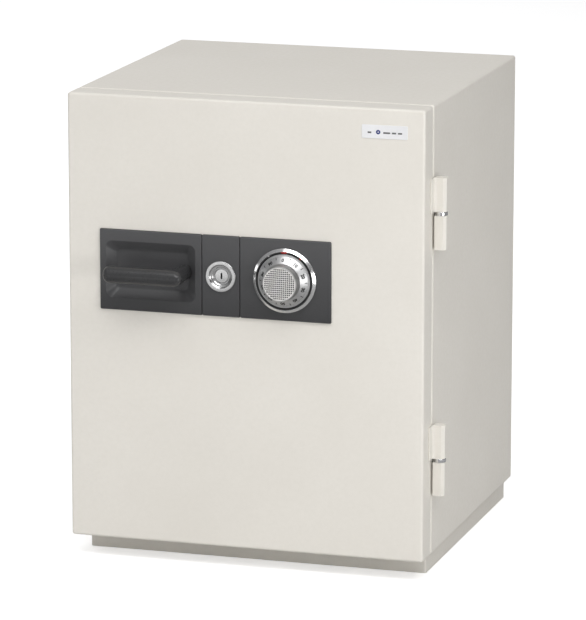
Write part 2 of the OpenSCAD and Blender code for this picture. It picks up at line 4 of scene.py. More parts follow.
import bmesh
import bpy
import numpy as np
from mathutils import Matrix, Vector


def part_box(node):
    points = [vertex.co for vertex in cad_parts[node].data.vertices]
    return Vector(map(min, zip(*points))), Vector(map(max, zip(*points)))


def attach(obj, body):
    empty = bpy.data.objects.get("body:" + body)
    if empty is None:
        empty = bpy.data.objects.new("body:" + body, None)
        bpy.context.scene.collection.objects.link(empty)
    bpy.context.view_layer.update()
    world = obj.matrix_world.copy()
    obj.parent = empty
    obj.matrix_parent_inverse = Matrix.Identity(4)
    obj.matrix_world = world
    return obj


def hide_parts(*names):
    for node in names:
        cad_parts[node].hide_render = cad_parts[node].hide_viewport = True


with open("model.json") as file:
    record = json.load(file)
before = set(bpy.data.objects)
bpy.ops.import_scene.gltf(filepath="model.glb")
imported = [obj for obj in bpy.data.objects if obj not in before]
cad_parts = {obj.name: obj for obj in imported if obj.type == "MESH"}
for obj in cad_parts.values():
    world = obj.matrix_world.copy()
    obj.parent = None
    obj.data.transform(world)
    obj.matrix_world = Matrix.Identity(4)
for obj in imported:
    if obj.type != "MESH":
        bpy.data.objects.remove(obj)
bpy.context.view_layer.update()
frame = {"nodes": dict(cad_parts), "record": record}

scene = bpy.context.scene
mm = 0.001  # sizes below are millimetres, Blender's are metres
quarter = math.pi / 2

viewpoint = {
    "place": (1.69869, -5.55254, 1.57565),  # metres
    "yaw": 0.2990,  # radians round towards the hinge side
    "pitch": 0.2171,  # radians down
    "lens": 255.48,
    "sensor": 36.0,
}


def placeCamera(v):
    data = bpy.data.cameras.new("camera")
    data.lens = v["lens"]
    data.sensor_width = v["sensor"]
    data.clip_end = 100.0
    camera = bpy.data.objects.new("camera", data)
    camera.location = v["place"]
    camera.rotation_euler = (quarter - v["pitch"], 0.0, v["yaw"])
    scene.collection.objects.link(camera)
    scene.camera = camera


placeCamera(viewpoint)
print("camera placed")

studio = {
    "softboxes": {  # place and aim in metres, width, height, watts
        "keyLight": ((2.6, -3.1, 4.9), (0.0, 0.0, 0.35), 4.6, 2.6, 135.2),
        "frontLight": ((-1.2, -6.0, 3.0), (0.0, 0.0, 0.35), 6.0, 3.6, 20.0),
        "overheadLight": ((-0.1, -2.4, 4.2), (0.0, 0.0, 0.3), 2.0, 1.4, 48.7),
        "lowLight": ((-0.55, -1.7, 0.19), (-0.1, -0.3, 0.36), 1.1, 0.28, 0.9),
        "leftLight": ((-3.6, -0.45, 0.5), (0.0, -0.3, 0.36), 1.0, 0.9, 6.0),
        "rightLight": ((1.75, -1.45, 0.36), (0.24, -0.2, 0.33), 0.7, 0.68, 9.3),
        "backLight": ((-3.6, 3.4, 3.6), (0.0, 0.0, 0.35), 2.4, 2.4, 66.0),
    },
    "skyLow": (0.34, 0.34, 0.345),
    "skyHigh": (0.62, 0.62, 0.625),
    "skyHighFrom": 0.8,  # height on the unit sphere where the upper tone is reached
    "skyStrength": 0.61,
    "floorSize": 40.0,
    "floorColour": 0.93,  # as the camera sees it
    "floorBounce": 0.74,  # what it throws back at paint
    "floorMirror": 0.42,  # what shows in chrome
    "floorGlow": 0.45,
}


def addNode(tree, kind, values=None, **settings):
    node = tree.nodes.new("ShaderNode" + kind)
    for key, value in settings.items():
        setattr(node, key, value)
    for key, value in (values or {}).items():
        node.inputs[key].default_value = value
    return node


def wire(tree, *links):
    # each link is a node, its output, the next node and its input
    for source, output, target, intake in links:
        tree.links.new(source.outputs[output], target.inputs[intake])


def setSockets(node, values):
    for key, value in values.items():
        node.inputs[key].default_value = value


def rgba(colour):
    # a lone number is a grey
    return (*colour, 1) if isinstance(colour, tuple) else (colour, colour, colour, 1)


def lightStudio(s):
    for name, (place, aim, width, height, watts) in s["softboxes"].items():
        data = bpy.data.lights.new(name, "AREA")
        data.shape = "RECTANGLE"
        data.size = width
        data.size_y = height
        data.energy = watts
        lamp = bpy.data.objects.new(name, data)
        lamp.location = place
        lamp.rotation_euler = (Vector(aim) - lamp.location).to_track_quat("-Z", "Y").to_euler()
        scene.collection.objects.link(lamp)
    world = bpy.data.worlds.new("studioSky")
    world.use_nodes = True
    scene.world = world
    tree = world.node_tree
    background = tree.nodes["Background"]
    place = addNode(tree, "TexCoord")
    split = addNode(tree, "SeparateXYZ")
    ramp = addNode(tree, "ValToRGB")
    low, high = ramp.color_ramp.elements
    low.color = rgba(s["skyLow"])
    high.color = rgba(s["skyHigh"])
    high.position = s["skyHighFrom"]
    wire(tree, (place, "Generated", split, 0), (split, "Z", ramp, 0), (ramp, 0, background, "Color"))
    setSockets(background, {"Strength": s["skyStrength"]})
    scene.view_settings.view_transform = "Standard"


def layFloor(s):
    half = s["floorSize"] / 2
    corners = half * np.array([[-1, -1, 0], [1, -1, 0], [1, 1, 0], [-1, 1, 0]])
    mesh = bpy.data.meshes.new("floor")
    mesh.from_pydata(corners.tolist(), [], [(0, 1, 2, 3)])
    floor = bpy.data.objects.new("floor", mesh)
    scene.collection.objects.link(floor)
    paper = bpy.data.materials.new("studioFloor")
    paper.use_nodes = True
    tree = paper.node_tree
    shader = tree.nodes["Principled BSDF"]
    ray = addNode(tree, "LightPath")
    thrown = addNode(tree, "Mix", data_type="RGBA")
    setSockets(thrown, {6: rgba(s["floorBounce"]), 7: rgba(s["floorMirror"])})
    tone = addNode(tree, "Mix", data_type="RGBA")
    setSockets(tone, {7: rgba(s["floorColour"])})
    glow = addNode(tree, "Math", {1: s["floorGlow"]}, operation="MULTIPLY")
    wire(tree, (ray, "Is Glossy Ray", thrown, 0), (thrown, 2, tone, 6), (ray, "Is Camera Ray", tone, 0),
         (ray, "Is Camera Ray", glow, 0), (tone, 2, shader, "Base Color"),
         (glow, 0, shader, "Emission Strength"))
    setSockets(shader, {"Emission Color": rgba(1.0), "Roughness": 0.9, "Specular IOR Level": 0.1})
    mesh.materials.append(paper)


lightStudio(studio)
layFloor(studio)
print("studio lit")


def newGroup(name, inputs, outputs):
    # inputs are name, kind and value; every output is a number
    tree = bpy.data.node_groups.new(name, "ShaderNodeTree")
    for label, kind, value in inputs:
        socket = tree.interface.new_socket(name=label, in_out="INPUT", socket_type="NodeSocket" + kind)
        if value is not None:
            socket.default_value = value
    for label in outputs:
        tree.interface.new_socket(name=label, in_out="OUTPUT", socket_type="NodeSocketFloat")
    return tree, tree.nodes.new("NodeGroupInput"), tree.nodes.new("NodeGroupOutput")


def mottleGroup():
    # slow drift of tone in two sizes, and a fine grain that stands for orange peel or moulded texture
    tree, source, result = newGroup(
        "surfaceGrain", [("Vector", "Vector", None), ("Drift Scale", "Float", 9.0),
                         ("Grain Scale", "Float", 900.0), ("Grain Detail", "Float", 2.0)],
        ["Drift", "Fleck", "Grain"])
    drift = addNode(tree, "TexNoise", {"Detail": 3.0, "Roughness": 0.55})
    grain = addNode(tree, "TexNoise", {"Roughness": 0.6})
    coarser = addNode(tree, "Math", {1: 0.28}, operation="MULTIPLY")
    fleck = addNode(tree, "TexNoise", {"Detail": 2.0, "Roughness": 0.7})
    wire(tree, (source, "Vector", drift, "Vector"), (source, "Vector", grain, "Vector"),
         (source, "Vector", fleck, "Vector"), (source, "Drift Scale", drift, "Scale"),
         (source, "Grain Scale", grain, "Scale"), (source, "Grain Detail", grain, "Detail"),
         (source, "Grain Scale", coarser, 0), (coarser, 0, fleck, "Scale"), (drift, "Fac", result, "Drift"),
         (fleck, "Fac", result, "Fleck"), (grain, "Fac", result, "Grain"))
    return tree


def edgeGroup():
    # 1 along outside and inside corners, 0 on flats: how far a rounded normal turns from the true one
    tree, source, result = newGroup(
        "edgeMask", [("Radius", "Float", 0.002), ("Gain", "Float", 6.0)], ["Mask"])
    soft = addNode(tree, "Bevel", samples=4)
    true = addNode(tree, "NewGeometry")
    across = addNode(tree, "VectorMath", operation="DOT_PRODUCT")
    away = addNode(tree, "Math", {0: 1.0}, operation="SUBTRACT")
    gain = addNode(tree, "Math", operation="MULTIPLY", use_clamp=True)
    wire(tree, (source, "Radius", soft, "Radius"), (soft, "Normal", across, 0), (true, "Normal", across, 1),
         (across, "Value", away, 1), (away, 0, gain, 0), (source, "Gain", gain, 1), (gain, 0, result, "Mask"))
    return tree


def dustGroup():
    # fine dust lies where a face looks up, thicker in patches
    tree, source, result = newGroup(
        "restingDust", [("Vector", "Vector", None), ("Amount", "Float", 0.2)], ["Mask"])
    facing = addNode(tree, "NewGeometry")
    split = addNode(tree, "SeparateXYZ")
    up = addNode(tree, "MapRange", {"From Min": 0.55, "From Max": 1.0})
    patches = addNode(tree, "TexNoise", {"Scale": 14.0, "Detail": 5.0, "Roughness": 0.65})
    spread = addNode(tree, "MapRange", {"From Min": 0.35, "From Max": 0.75})
    both = addNode(tree, "Math", operation="MULTIPLY")
    amount = addNode(tree, "Math", operation="MULTIPLY")
    wire(tree, (source, "Vector", patches, "Vector"), (facing, "Normal", split, 0), (split, "Z", up, "Value"),
         (patches, "Fac", spread, "Value"), (up, 0, both, 0), (spread, 0, both, 1), (both, 0, amount, 0),
         (source, "Amount", amount, 1), (amount, 0, result, "Mask"))
    return tree


def turnedGroup():
    # rings left by a lathe: noise along the distance from the axis that passes through Centre
    tree, source, result = newGroup(
        "turnedMarks", [("Vector", "Vector", None), ("Centre", "Vector", None), ("Keep", "Vector", None),
                        ("Scale", "Float", 2500.0)], ["Marks"])
    shift = addNode(tree, "VectorMath", operation="SUBTRACT")
    flatten = addNode(tree, "VectorMath", operation="MULTIPLY")
    reach = addNode(tree, "VectorMath", operation="LENGTH")
    rings = addNode(tree, "TexNoise", {"Detail": 3.0, "Roughness": 0.6}, noise_dimensions="1D")
    wire(tree, (source, "Vector", shift, 0), (source, "Centre", shift, 1), (shift, 0, flatten, 0),
         (source, "Keep", flatten, 1), (flatten, 0, reach, 0), (reach, "Value", rings, "W"),
         (source, "Scale", rings, "Scale"), (rings, "Fac", result, "Marks"))
    return tree


grainTree = mottleGroup()
edgeTree = edgeGroup()
dustTree = dustGroup()
turnedTree = turnedGroup()
print("shader groups ready")


def useGroup(tree, group, values):
    node = tree.nodes.new("ShaderNodeGroup")
    node.node_tree = group
    setSockets(node, values)
    return node


def mixColour(tree, factor, first, second):
    # first and second are sockets, colours or greys
    node = addNode(tree, "Mix", data_type="RGBA")
    tree.links.new(factor, node.inputs[0])
    for value, socket in ((first, node.inputs[6]), (second, node.inputs[7])):
        if isinstance(value, bpy.types.NodeSocket):
            tree.links.new(value, socket)
        else:
            socket.default_value = rgba(value)
    return node.outputs[2]


def remap(tree, value, low, high, start=0.3, end=0.7):
    node = addNode(tree, "MapRange", {"From Min": start, "From Max": end, "To Min": low, "To Max": high})
    tree.links.new(value, node.inputs["Value"])
    return node.outputs[0]


dustColour = (0.62, 0.60, 0.57)
aboutY = (1.0, 0.0, 1.0)  # keeps the distance from an axis along Y


def finish(name, m):
    # every finish has a tone that drifts, a fleck, an edge tone that is partly wear and partly a painted
    # highlight, dust and a grain in its bump
    dark, light, speck, edgeWearAndHighlightTone = m["tones"]
    driftScale, grainScale = m["scales"]
    edgeReach, edgeGain = m["edgeWearAndHighlight"]
    bumpStrength, bumpDepth = m["bump"]
    material = bpy.data.materials.new(name)
    material.use_nodes = True
    tree = material.node_tree
    shader = tree.nodes["Principled BSDF"]
    link = tree.links.new
    vector = addNode(tree, "TexCoord").outputs["Object"]
    grainVector = vector
    if "stretch" in m:  # grain drawn out along one axis, as rolling or brushing leaves it
        mapping = addNode(tree, "Mapping", {"Scale": m["stretch"]})
        link(vector, mapping.inputs["Vector"])
        grainVector = mapping.outputs[0]
    grain = useGroup(tree, grainTree, {"Drift Scale": driftScale, "Grain Scale": grainScale})
    link(grainVector, grain.inputs["Vector"])
    tone = mixColour(tree, remap(tree, grain.outputs["Drift"], 0, 1), dark, light)
    tone = mixColour(tree, remap(tree, grain.outputs["Fleck"], 0, m["fleck"], 0.35, 0.75), tone, speck)
    edge = useGroup(tree, edgeTree, {"Radius": edgeReach * mm, "Gain": edgeGain})
    # painted highlight: edges and corners take the edge tone, which where lighter than the face is partly
    # wear and partly stands in for the light a rounded edge catches
    tone = mixColour(tree, edge.outputs["Mask"], tone, edgeWearAndHighlightTone)
    if "dust" in m:
        dust = useGroup(tree, dustTree, {"Amount": m["dust"]})
        link(vector, dust.inputs["Vector"])
        tone = mixColour(tree, dust.outputs["Mask"], tone, dustColour)
    if "paintedTopSheen" in m:  # painted highlight: paler towards the top, standing in for the sheen an overhead lamp lays on the plates
        split = addNode(tree, "SeparateXYZ")
        link(vector, split.inputs[0])
        reach = remap(tree, split.outputs["Z"], 0, 1, *m["paintedTopSheenSpan"])
        tone = mixColour(tree, reach, tone, m["paintedTopSheen"])
    link(tone, shader.inputs["Base Color"])
    height = grain.outputs["Grain"]
    roughSource = grain.outputs["Fleck"]
    if "turnedAbout" in m:
        turned = useGroup(tree, turnedTree, {"Scale": m["turnedScale"], "Keep": aboutY})
        setSockets(turned, {"Centre": m["turnedAbout"]})
        link(vector, turned.inputs["Vector"])
        height = roughSource = turned.outputs["Marks"]
    link(remap(tree, roughSource, *m["rough"]), shader.inputs["Roughness"])
    bump = addNode(tree, "Bump", {"Strength": bumpStrength, "Distance": bumpDepth * mm})
    link(height, bump.inputs["Height"])
    link(bump.outputs[0], shader.inputs["Normal"])
    setSockets(shader, {"Metallic": m.get("metal", 0.0), "Specular IOR Level": m.get("specular", 0.5)})
    return material


def middleOf(node):
    low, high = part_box(node)
    return tuple((low + high) / 2)


# tones are dark, light, speck and edge, and a lone number is a grey, the edge tone being partly wear and
# partly a painted highlight; scales are of the drift and the grain;
# the edge pair is how far the edge tone reaches in mm and how strongly; bump is its strength and its depth in
# mm
ink = {"scales": (90.0, 3000.0), "fleck": 0.2, "edgeWearAndHighlight": (0.1, 0.5), "rough": (0.38, 0.48),
       "bump": (0.05, 0.01)}
enamel = {**ink, "rough": (0.28, 0.36)}
chrome = {"scales": (60.0, 3000.0), "fleck": 0.2, "edgeWearAndHighlight": (0.5, 0.8), "bump": (0.1, 0.01), "metal": 1.0}
finishSettings = {
    "cabinetPaint": {
        "tones": ((0.785, 0.752, 0.69), (0.815, 0.783, 0.722), (0.75, 0.72, 0.655), (0.86, 0.835, 0.78)),
        "scales": (7.0, 620.0), "fleck": 0.35, "edgeWearAndHighlight": (2.0, 2.0), "rough": (0.36, 0.5), "bump": (0.3, 0.05),
        "dust": 0.05},
    "innerPaint": {
        "tones": ((0.7, 0.69, 0.655), (0.735, 0.725, 0.69), (0.64, 0.63, 0.6), (0.8, 0.79, 0.76)),
        "scales": (9.0, 700.0), "fleck": 0.3, "edgeWearAndHighlight": (1.2, 1.6), "rough": (0.42, 0.58), "bump": (0.25, 0.05),
        "dust": 0.12},
    "platePlastic": {
        "tones": ((0.034, 0.034, 0.036), (0.04, 0.04, 0.042), (0.055, 0.055, 0.057), (0.075, 0.075, 0.078)),
        "scales": (22.0, 1900.0), "fleck": 0.3, "edgeWearAndHighlight": (0.8, 1.2), "rough": (0.34, 0.46),
        # painted highlight: the paler tone the plates take towards the top of the key plate's height
        "bump": (0.22, 0.04), "dust": 0.03, "paintedTopSheen": (0.08, 0.08, 0.083),
        "paintedTopSheenSpan": (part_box("key_plate")[0][2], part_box("key_plate")[1][2])},
    "handlePlastic": {
        "tones": ((0.03, 0.03, 0.031), (0.036, 0.036, 0.038), (0.05, 0.05, 0.052), (0.05, 0.05, 0.052)),
        "scales": (30.0, 2200.0), "fleck": 0.25, "edgeWearAndHighlight": (1.0, 1.0), "rough": (0.26, 0.36),
        "bump": (0.18, 0.03), "dust": 0.03},
    "brightChrome": {
        **chrome, "fleck": 0.15, "bump": (0.05, 0.01),
        "tones": ((0.74, 0.745, 0.75), 0.8, (0.66, 0.665, 0.67), 0.88), "rough": (0.13, 0.2)},
    "satinChrome": {
        **chrome, "tones": ((0.56, 0.562, 0.565), 0.64, (0.48, 0.48, 0.49), 0.85), "rough": (0.34, 0.44),
        "turnedAbout": middleOf("dial_knob"), "turnedScale": 2600.0},
    "keyChrome": {
        **chrome, "tones": (0.56, 0.64, 0.48, 0.86), "rough": (0.16, 0.26),
        "turnedAbout": middleOf("key_escutcheon"), "turnedScale": 2200.0},
    "capSteel": {
        **chrome, "scales": (120.0, 3000.0), "fleck": 0.3, "edgeWearAndHighlight": (0.3, 2.0), "metal": 0.35,
        "tones": ((0.8, 0.78, 0.76), (0.88, 0.86, 0.84), (0.7, 0.68, 0.66), (0.8, 0.79, 0.78)),
        "rough": (0.3, 0.42)},
    "indexBlack": {
        "tones": (0.018, (0.024, 0.024, 0.025), 0.04, 0.05), "scales": (60.0, 2500.0), "fleck": 0.2,
        "edgeWearAndHighlight": (0.4, 1.0), "rough": (0.32, 0.42), "bump": (0.1, 0.02)},
    "zincSteel": {
        "tones": ((0.5, 0.51, 0.52), (0.6, 0.605, 0.61), (0.42, 0.43, 0.44), 0.72), "scales": (35.0, 900.0),
        "fleck": 0.5, "edgeWearAndHighlight": (0.6, 1.4), "rough": (0.3, 0.46), "bump": (0.15, 0.02), "metal": 1.0,
        "stretch": (1.0, 1.0, 0.2)},
    "hardSteel": {
        "tones": ((0.42, 0.42, 0.43), (0.5, 0.5, 0.51), (0.34, 0.34, 0.35), 0.64), "scales": (30.0, 1500.0),
        "fleck": 0.4, "edgeWearAndHighlight": (0.6, 1.2), "rough": (0.22, 0.36), "bump": (0.12, 0.02), "metal": 1.0,
        "stretch": (0.2, 1.0, 1.0)},
    "brass": {
        "tones": ((0.58, 0.42, 0.18), (0.68, 0.51, 0.25), (0.48, 0.34, 0.14), (0.8, 0.64, 0.36)),
        "scales": (40.0, 1500.0), "fleck": 0.3, "edgeWearAndHighlight": (0.5, 1.2), "rough": (0.24, 0.38),
        "bump": (0.12, 0.02), "metal": 1.0},
    "zincCast": {
        "tones": (0.4, (0.48, 0.48, 0.475), 0.32, (0.58, 0.58, 0.57)), "scales": (30.0, 1100.0), "fleck": 0.5,
        "edgeWearAndHighlight": (0.8, 1.2), "rough": (0.42, 0.6), "bump": (0.35, 0.05), "metal": 0.85},
    "sealRubber": {
        "tones": ((0.022, 0.022, 0.023), 0.032, (0.06, 0.06, 0.058), 0.05), "scales": (16.0, 1200.0),
        "fleck": 0.35, "edgeWearAndHighlight": (1.0, 0.8), "rough": (0.55, 0.75), "bump": (0.3, 0.05), "dust": 0.15},
    "mineralFill": {
        "tones": ((0.5, 0.48, 0.43), (0.62, 0.6, 0.55), (0.36, 0.34, 0.3), (0.7, 0.68, 0.63)),
        "scales": (18.0, 260.0), "fleck": 0.6, "edgeWearAndHighlight": (2.0, 1.0), "rough": (0.85, 0.98), "bump": (0.8, 0.6)},
    "badgeFace": {
        "tones": ((0.8, 0.8, 0.815), (0.84, 0.84, 0.85), (0.76, 0.76, 0.78), 0.62), "scales": (40.0, 2600.0),
        "fleck": 0.2, "edgeWearAndHighlight": (0.4, 1.0), "rough": (0.26, 0.34), "bump": (0.05, 0.01)},
    "greyInk": {**ink, "edgeWearAndHighlight": (0.2, 0.5), "tones": (0.1, 0.13, 0.18, 0.14)},
    "blueInk": {
        **ink, "edgeWearAndHighlight": (0.2, 0.5),
        "tones": ((0.012, 0.022, 0.16), (0.016, 0.03, 0.2), (0.03, 0.05, 0.25), (0.02, 0.03, 0.18))},
    "blackInk": {**ink, "rough": (0.5, 0.6), "tones": (0.016, 0.022, 0.05, 0.03), "specular": 0.15},
    "redEnamel": {
        **enamel,
        "tones": ((0.42, 0.018, 0.014), (0.5, 0.024, 0.018), (0.36, 0.016, 0.012), (0.52, 0.05, 0.04))},
    "whiteEnamel": {**enamel, "tones": ((0.6, 0.6, 0.59), (0.66, 0.66, 0.65), (0.52, 0.52, 0.51), 0.7)},
}
slotFinish = {  # the finish that each slot of the record takes
    "cabinet_paint": "cabinetPaint", "inner_paint": "innerPaint", "plate_plastic": "platePlastic",
    "handle_plastic": "handlePlastic", "bright_chrome": "brightChrome", "satin_chrome": "satinChrome",
    "dial_steel": "capSteel", "index_black": "indexBlack", "zinc_steel": "zincSteel",
    "hard_steel": "hardSteel", "brass": "brass", "zinc_cast": "zincCast", "seal_rubber": "sealRubber",
    "mineral_fill": "mineralFill", "badge_face": "badgeFace",
}
finishes = {name: finish(name, settings) for name, settings in finishSettings.items()}
print("finishes:", len(finishes))


print("finishes:", len(finishes))


def span(*nodes):
    # lowest and highest corner of the nodes together, in millimetres
    corners = np.array([[list(corner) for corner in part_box(node)] for node in nodes]) / mm
    return corners[:, 0].min(0), corners[:, 1].max(0)


def gridFaces(rows, columns, closeRows=False, closeColumns=False):
    # one quad for each cell of the grid; a closed direction joins its last line to its first
    row, column = np.meshgrid(np.arange(rows - (not closeRows)), np.arange(columns - (not closeColumns)),
                              indexing="ij")
    nextRow = (row + 1) % rows
    nextColumn = (column + 1) % columns
    cells = [row * columns + column, row * columns + nextColumn,
             nextRow * columns + nextColumn, nextRow * columns + column]
    return np.stack(cells, -1).reshape(-1, 4)


def weld(mesh, near):
    # joins points nearer than that, drops faces that close up to nothing, and turns the rest outwards
    work = bmesh.new()
    work.from_mesh(mesh)
    bmesh.ops.remove_doubles(work, verts=work.verts, dist=near * mm)
    bmesh.ops.recalc_face_normals(work, faces=work.faces)
    work.to_mesh(mesh)
    work.free()
    return mesh


def solidMesh(name, points, faces):
    mesh = bpy.data.meshes.new(name)
    mesh.from_pydata((np.asarray(points, float).reshape(-1, 3) * mm).tolist(), [], faces)
    return weld(mesh, 0.0005)


def loft(name, loops, ring=False):
    # loops is a stack of closed outlines with the same number of points; a ring's last outline joins its
    # first, and any other stack is capped at both ends
    loops = np.asarray(loops, float)
    count, size = loops.shape[:2]
    faces = gridFaces(count, size, closeRows=ring, closeColumns=True).tolist()
    if not ring:
        faces.append(list(range(size)))
        faces.append(list(range((count - 1) * size, count * size)))
    return solidMesh(name, loops, faces)


def roundedPath(corners, radii, steps=6, closed=False):
    # each corner becomes an arc that leaves both of its sides at a tangent; radius 0 keeps the corner
    corners = np.asarray(corners, float)
    radii = np.broadcast_to(radii, len(corners))
    path = []
    for i, (corner, radius) in enumerate(zip(corners, radii)):
        if radius == 0 or (not closed and i in (0, len(corners) - 1)):
            path.append(corner[None])
            continue
        back = corners[i - 1] - corner
        ahead = corners[(i + 1) % len(corners)] - corner
        back = back / np.linalg.norm(back)
        ahead = ahead / np.linalg.norm(ahead)
        half = math.acos(float(np.clip(back @ ahead, -1, 1))) / 2
        middle = (back + ahead) / np.linalg.norm(back + ahead)
        centre = corner + middle * radius / math.sin(half)
        start = corner + back * radius / math.tan(half) - centre
        end = corner + ahead * radius / math.tan(half) - centre
        turn = math.pi - 2 * half
        t = np.linspace(0, 1, steps + 1)[:, None]
        path.append(centre + (np.sin((1 - t) * turn) * start + np.sin(t * turn) * end) / math.sin(turn))
    return np.concatenate(path)


def roundedRectangle(x, z, radius, y, steps=8):
    # four quarter circles about their own centres, joined by straight sides, standing at depth y
    turn = np.linspace(0, quarter, steps + 1)[None, :] + np.arange(4)[:, None] * quarter
    centreX = np.array([x[1] - radius, x[0] + radius, x[0] + radius, x[1] - radius])[:, None]
    centreZ = np.array([z[1] - radius, z[1] - radius, z[0] + radius, z[0] + radius])[:, None]
    outline = np.stack([centreX + radius * np.cos(turn), np.full_like(turn, y),
                        centreZ + radius * np.sin(turn)], -1)
    return outline.reshape(-1, 3)


def insetRectangle(x, z, inset, radius, y, steps=8):
    return roundedRectangle((x[0] + inset, x[1] - inset), (z[0] + inset, z[1] - inset), radius, y, steps)


def limits(box):
    # left and right, then lowest and highest
    return (box[0][0], box[1][0]), (box[0][2], box[1][2])


def revolve(name, profile, base, axis, segments=96, ring=False, sweep=None, spread=None):
    # profile rows are (distance from the axis, height along it); each turns round the axis through base
    profile = np.asarray(profile, float)
    axis = np.asarray(axis, float)
    side = np.array([1.0, 0.0, 0.0]) if abs(axis[0]) < 0.5 else np.array([0.0, 0.0, 1.0])
    up = np.cross(axis, side)
    if sweep is None:
        angle = np.linspace(0, 2 * math.pi, segments, endpoint=False)[None, :]
    else:
        middle = (sweep[0] + sweep[1]) / 2
        share = np.ones(len(profile)) if spread is None else np.asarray(spread, float)
        angle = middle + (np.linspace(sweep[0], sweep[1], segments)[None, :] - middle) * share[:, None]
    around = np.cos(angle)[..., None] * side + np.sin(angle)[..., None] * up
    points = np.asarray(base, float) + profile[:, None, :1] * around + profile[:, None, 1:] * axis
    rows, columns = points.shape[:2]
    faces = gridFaces(rows, columns, closeRows=ring, closeColumns=sweep is None).tolist()
    if sweep is not None:
        faces.append([row * columns for row in range(rows)])
        faces.append([row * columns + columns - 1 for row in range(rows)])
    return solidMesh(name, points, faces)


def roundedBox(name, low, high, radius, extra=((), (), ()), keep=None, steps=6, support=0.8):
    # a point q of the sharp box goes to c + radius * unit(q - c), where c is q held inside the box of arc
    # centres; lines at tangents of even angles make the arcs even, and keep says which cells stay
    low, high = np.asarray(low, float), np.asarray(high, float)
    reach = radius * np.tan(np.linspace(0, math.pi / 4, steps + 1))
    lines = [np.unique(np.round(np.concatenate([
        low[i] + radius - reach, high[i] - radius + reach,
        [low[i] + radius + support, high[i] - radius - support], np.asarray(extra[i], float)]), 5))
        for i in range(3)]
    points, faces, count = [], [], 0
    for axis in range(3):
        first, second = (axis + 1) % 3, (axis + 2) % 3
        for side in (low[axis], high[axis]):
            grid = np.meshgrid(lines[first], lines[second], indexing="ij")
            q = np.zeros(grid[0].shape + (3,))
            q[..., axis] = side
            q[..., first] = grid[0]
            q[..., second] = grid[1]
            cells = gridFaces(*grid[0].shape)
            if side == low[axis]:
                cells = cells[:, ::-1]
            flat = q.reshape(-1, 3)
            if keep is not None:
                cells = cells[keep(flat[cells].mean(1))]
            centre = np.clip(flat, low + radius, high - radius)
            away = flat - centre
            points.append(centre + radius * away / np.linalg.norm(away, axis=1, keepdims=True))
            faces.extend((cells + count).tolist())
            count += len(flat)
    return solidMesh(name, np.concatenate(points), faces)


def thicken(item, sheet):
    # gives a surface a wall on its inner side
    wall = item.modifiers.new("sheet", "SOLIDIFY")
    wall.thickness = sheet * mm
    wall.offset = -1


def addPiece(mesh, body, slot, replaces=(), finishName=None, sharp=40, sheet=0.0, bevel=0.0):
    # gives a mesh its object, wall thickness, small bevels, clean normals, finish and body
    piece = bpy.data.objects.new(mesh.name, mesh)
    scene.collection.objects.link(piece)
    mesh.materials.clear()
    mesh.materials.append(finishes[finishName or slotFinish[slot]])
    mesh.shade_smooth()
    mesh.set_sharp_from_angle(angle=math.radians(sharp))
    if sheet:
        thicken(piece, sheet)
    if bevel:
        soften = piece.modifiers.new("bevel", "BEVEL")
        soften.width = bevel * mm
        soften.segments = 2
        soften.limit_method = "ANGLE"
        soften.angle_limit = math.radians(45)
    normals = piece.modifiers.new("normals", "WEIGHTED_NORMAL")
    normals.keep_sharp = True
    if replaces:
        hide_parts(*replaces)
    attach(piece, body)
    return piece


def carved(mesh, cutters, sheet=0.0):
    # takes the cutters' space out of the mesh, after giving it a wall where asked
    blank = bpy.data.objects.new("blank", mesh)
    tools = [bpy.data.objects.new("cutter", cutter) for cutter in cutters]
    for item in [blank, *tools]:
        scene.collection.objects.link(item)
    if sheet:
        thicken(blank, sheet)
    for tool in tools:
        cut = blank.modifiers.new("cut", "BOOLEAN")
        cut.operation = "DIFFERENCE"
        cut.solver = "EXACT"
        cut.object = tool
    bpy.context.view_layer.update()
    result = bpy.data.meshes.new_from_object(blank.evaluated_get(bpy.context.evaluated_depsgraph_get()))
    name = mesh.name
    for item in [blank, *tools]:
        bpy.data.objects.remove(item)
    bpy.data.meshes.remove(mesh)
    result.name = name
    return result


def rod(x, z, radius, y, segments=96):
    # a plain cylinder along Y, for a cutter
    return revolve("rod", [(0, 0), (radius, 0), (radius, y[1] - y[0]), (0, y[1] - y[0])],
                   (x, y[0], z), (0, 1, 0), segments)


def block(x, y, z):
    # a plain block between limits, for a cutter
    return loft("block", [roundedRectangle(x, z, 0.01, depth, 1) for depth in y])


def mergedCopy(name, node):
    # the node's own shape, welded, with the triangles of each flat face joined
    mesh = frame["nodes"][node].data.copy()
    mesh.name = name
    work = bmesh.new()
    work.from_mesh(mesh)
    bmesh.ops.remove_doubles(work, verts=work.verts, dist=0.002 * mm)
    bmesh.ops.dissolve_limit(work, angle_limit=math.radians(0.5), verts=work.verts, edges=work.edges)
    bmesh.ops.triangulate(work, faces=work.faces, ngon_method="BEAUTY")
    work.to_mesh(mesh)
    work.free()
    return mesh


cabinetLow, cabinetHigh = span("outer_shell")
doorLow, doorHigh = span("door_skin")

steelwork = {
    "edge": 3.5,  # radius of the folded edges
    "sheet": 2.0,
    "face": 22.0,  # painted face around the doorway
    "plinthEdge": 2.5,
    "plinthFoot": 0.8,
    "onPlane": 0.01,  # how near a face has to be to count as on it
    "passage": 12.0,  # depth of the cuts through the door's skin
    "keyPassage": 14.0,
    "dialPassage": 9.0,
    "recessRoom": 2.0,
}


def within(centres, low, high, inset):
    # which centres lie inside the box's width and height, drawn in by the inset
    x, _, z = centres.T
    return (x > low[0] + inset) & (x < high[0] - inset) & (z > low[2] + inset) & (z < high[2] - inset)


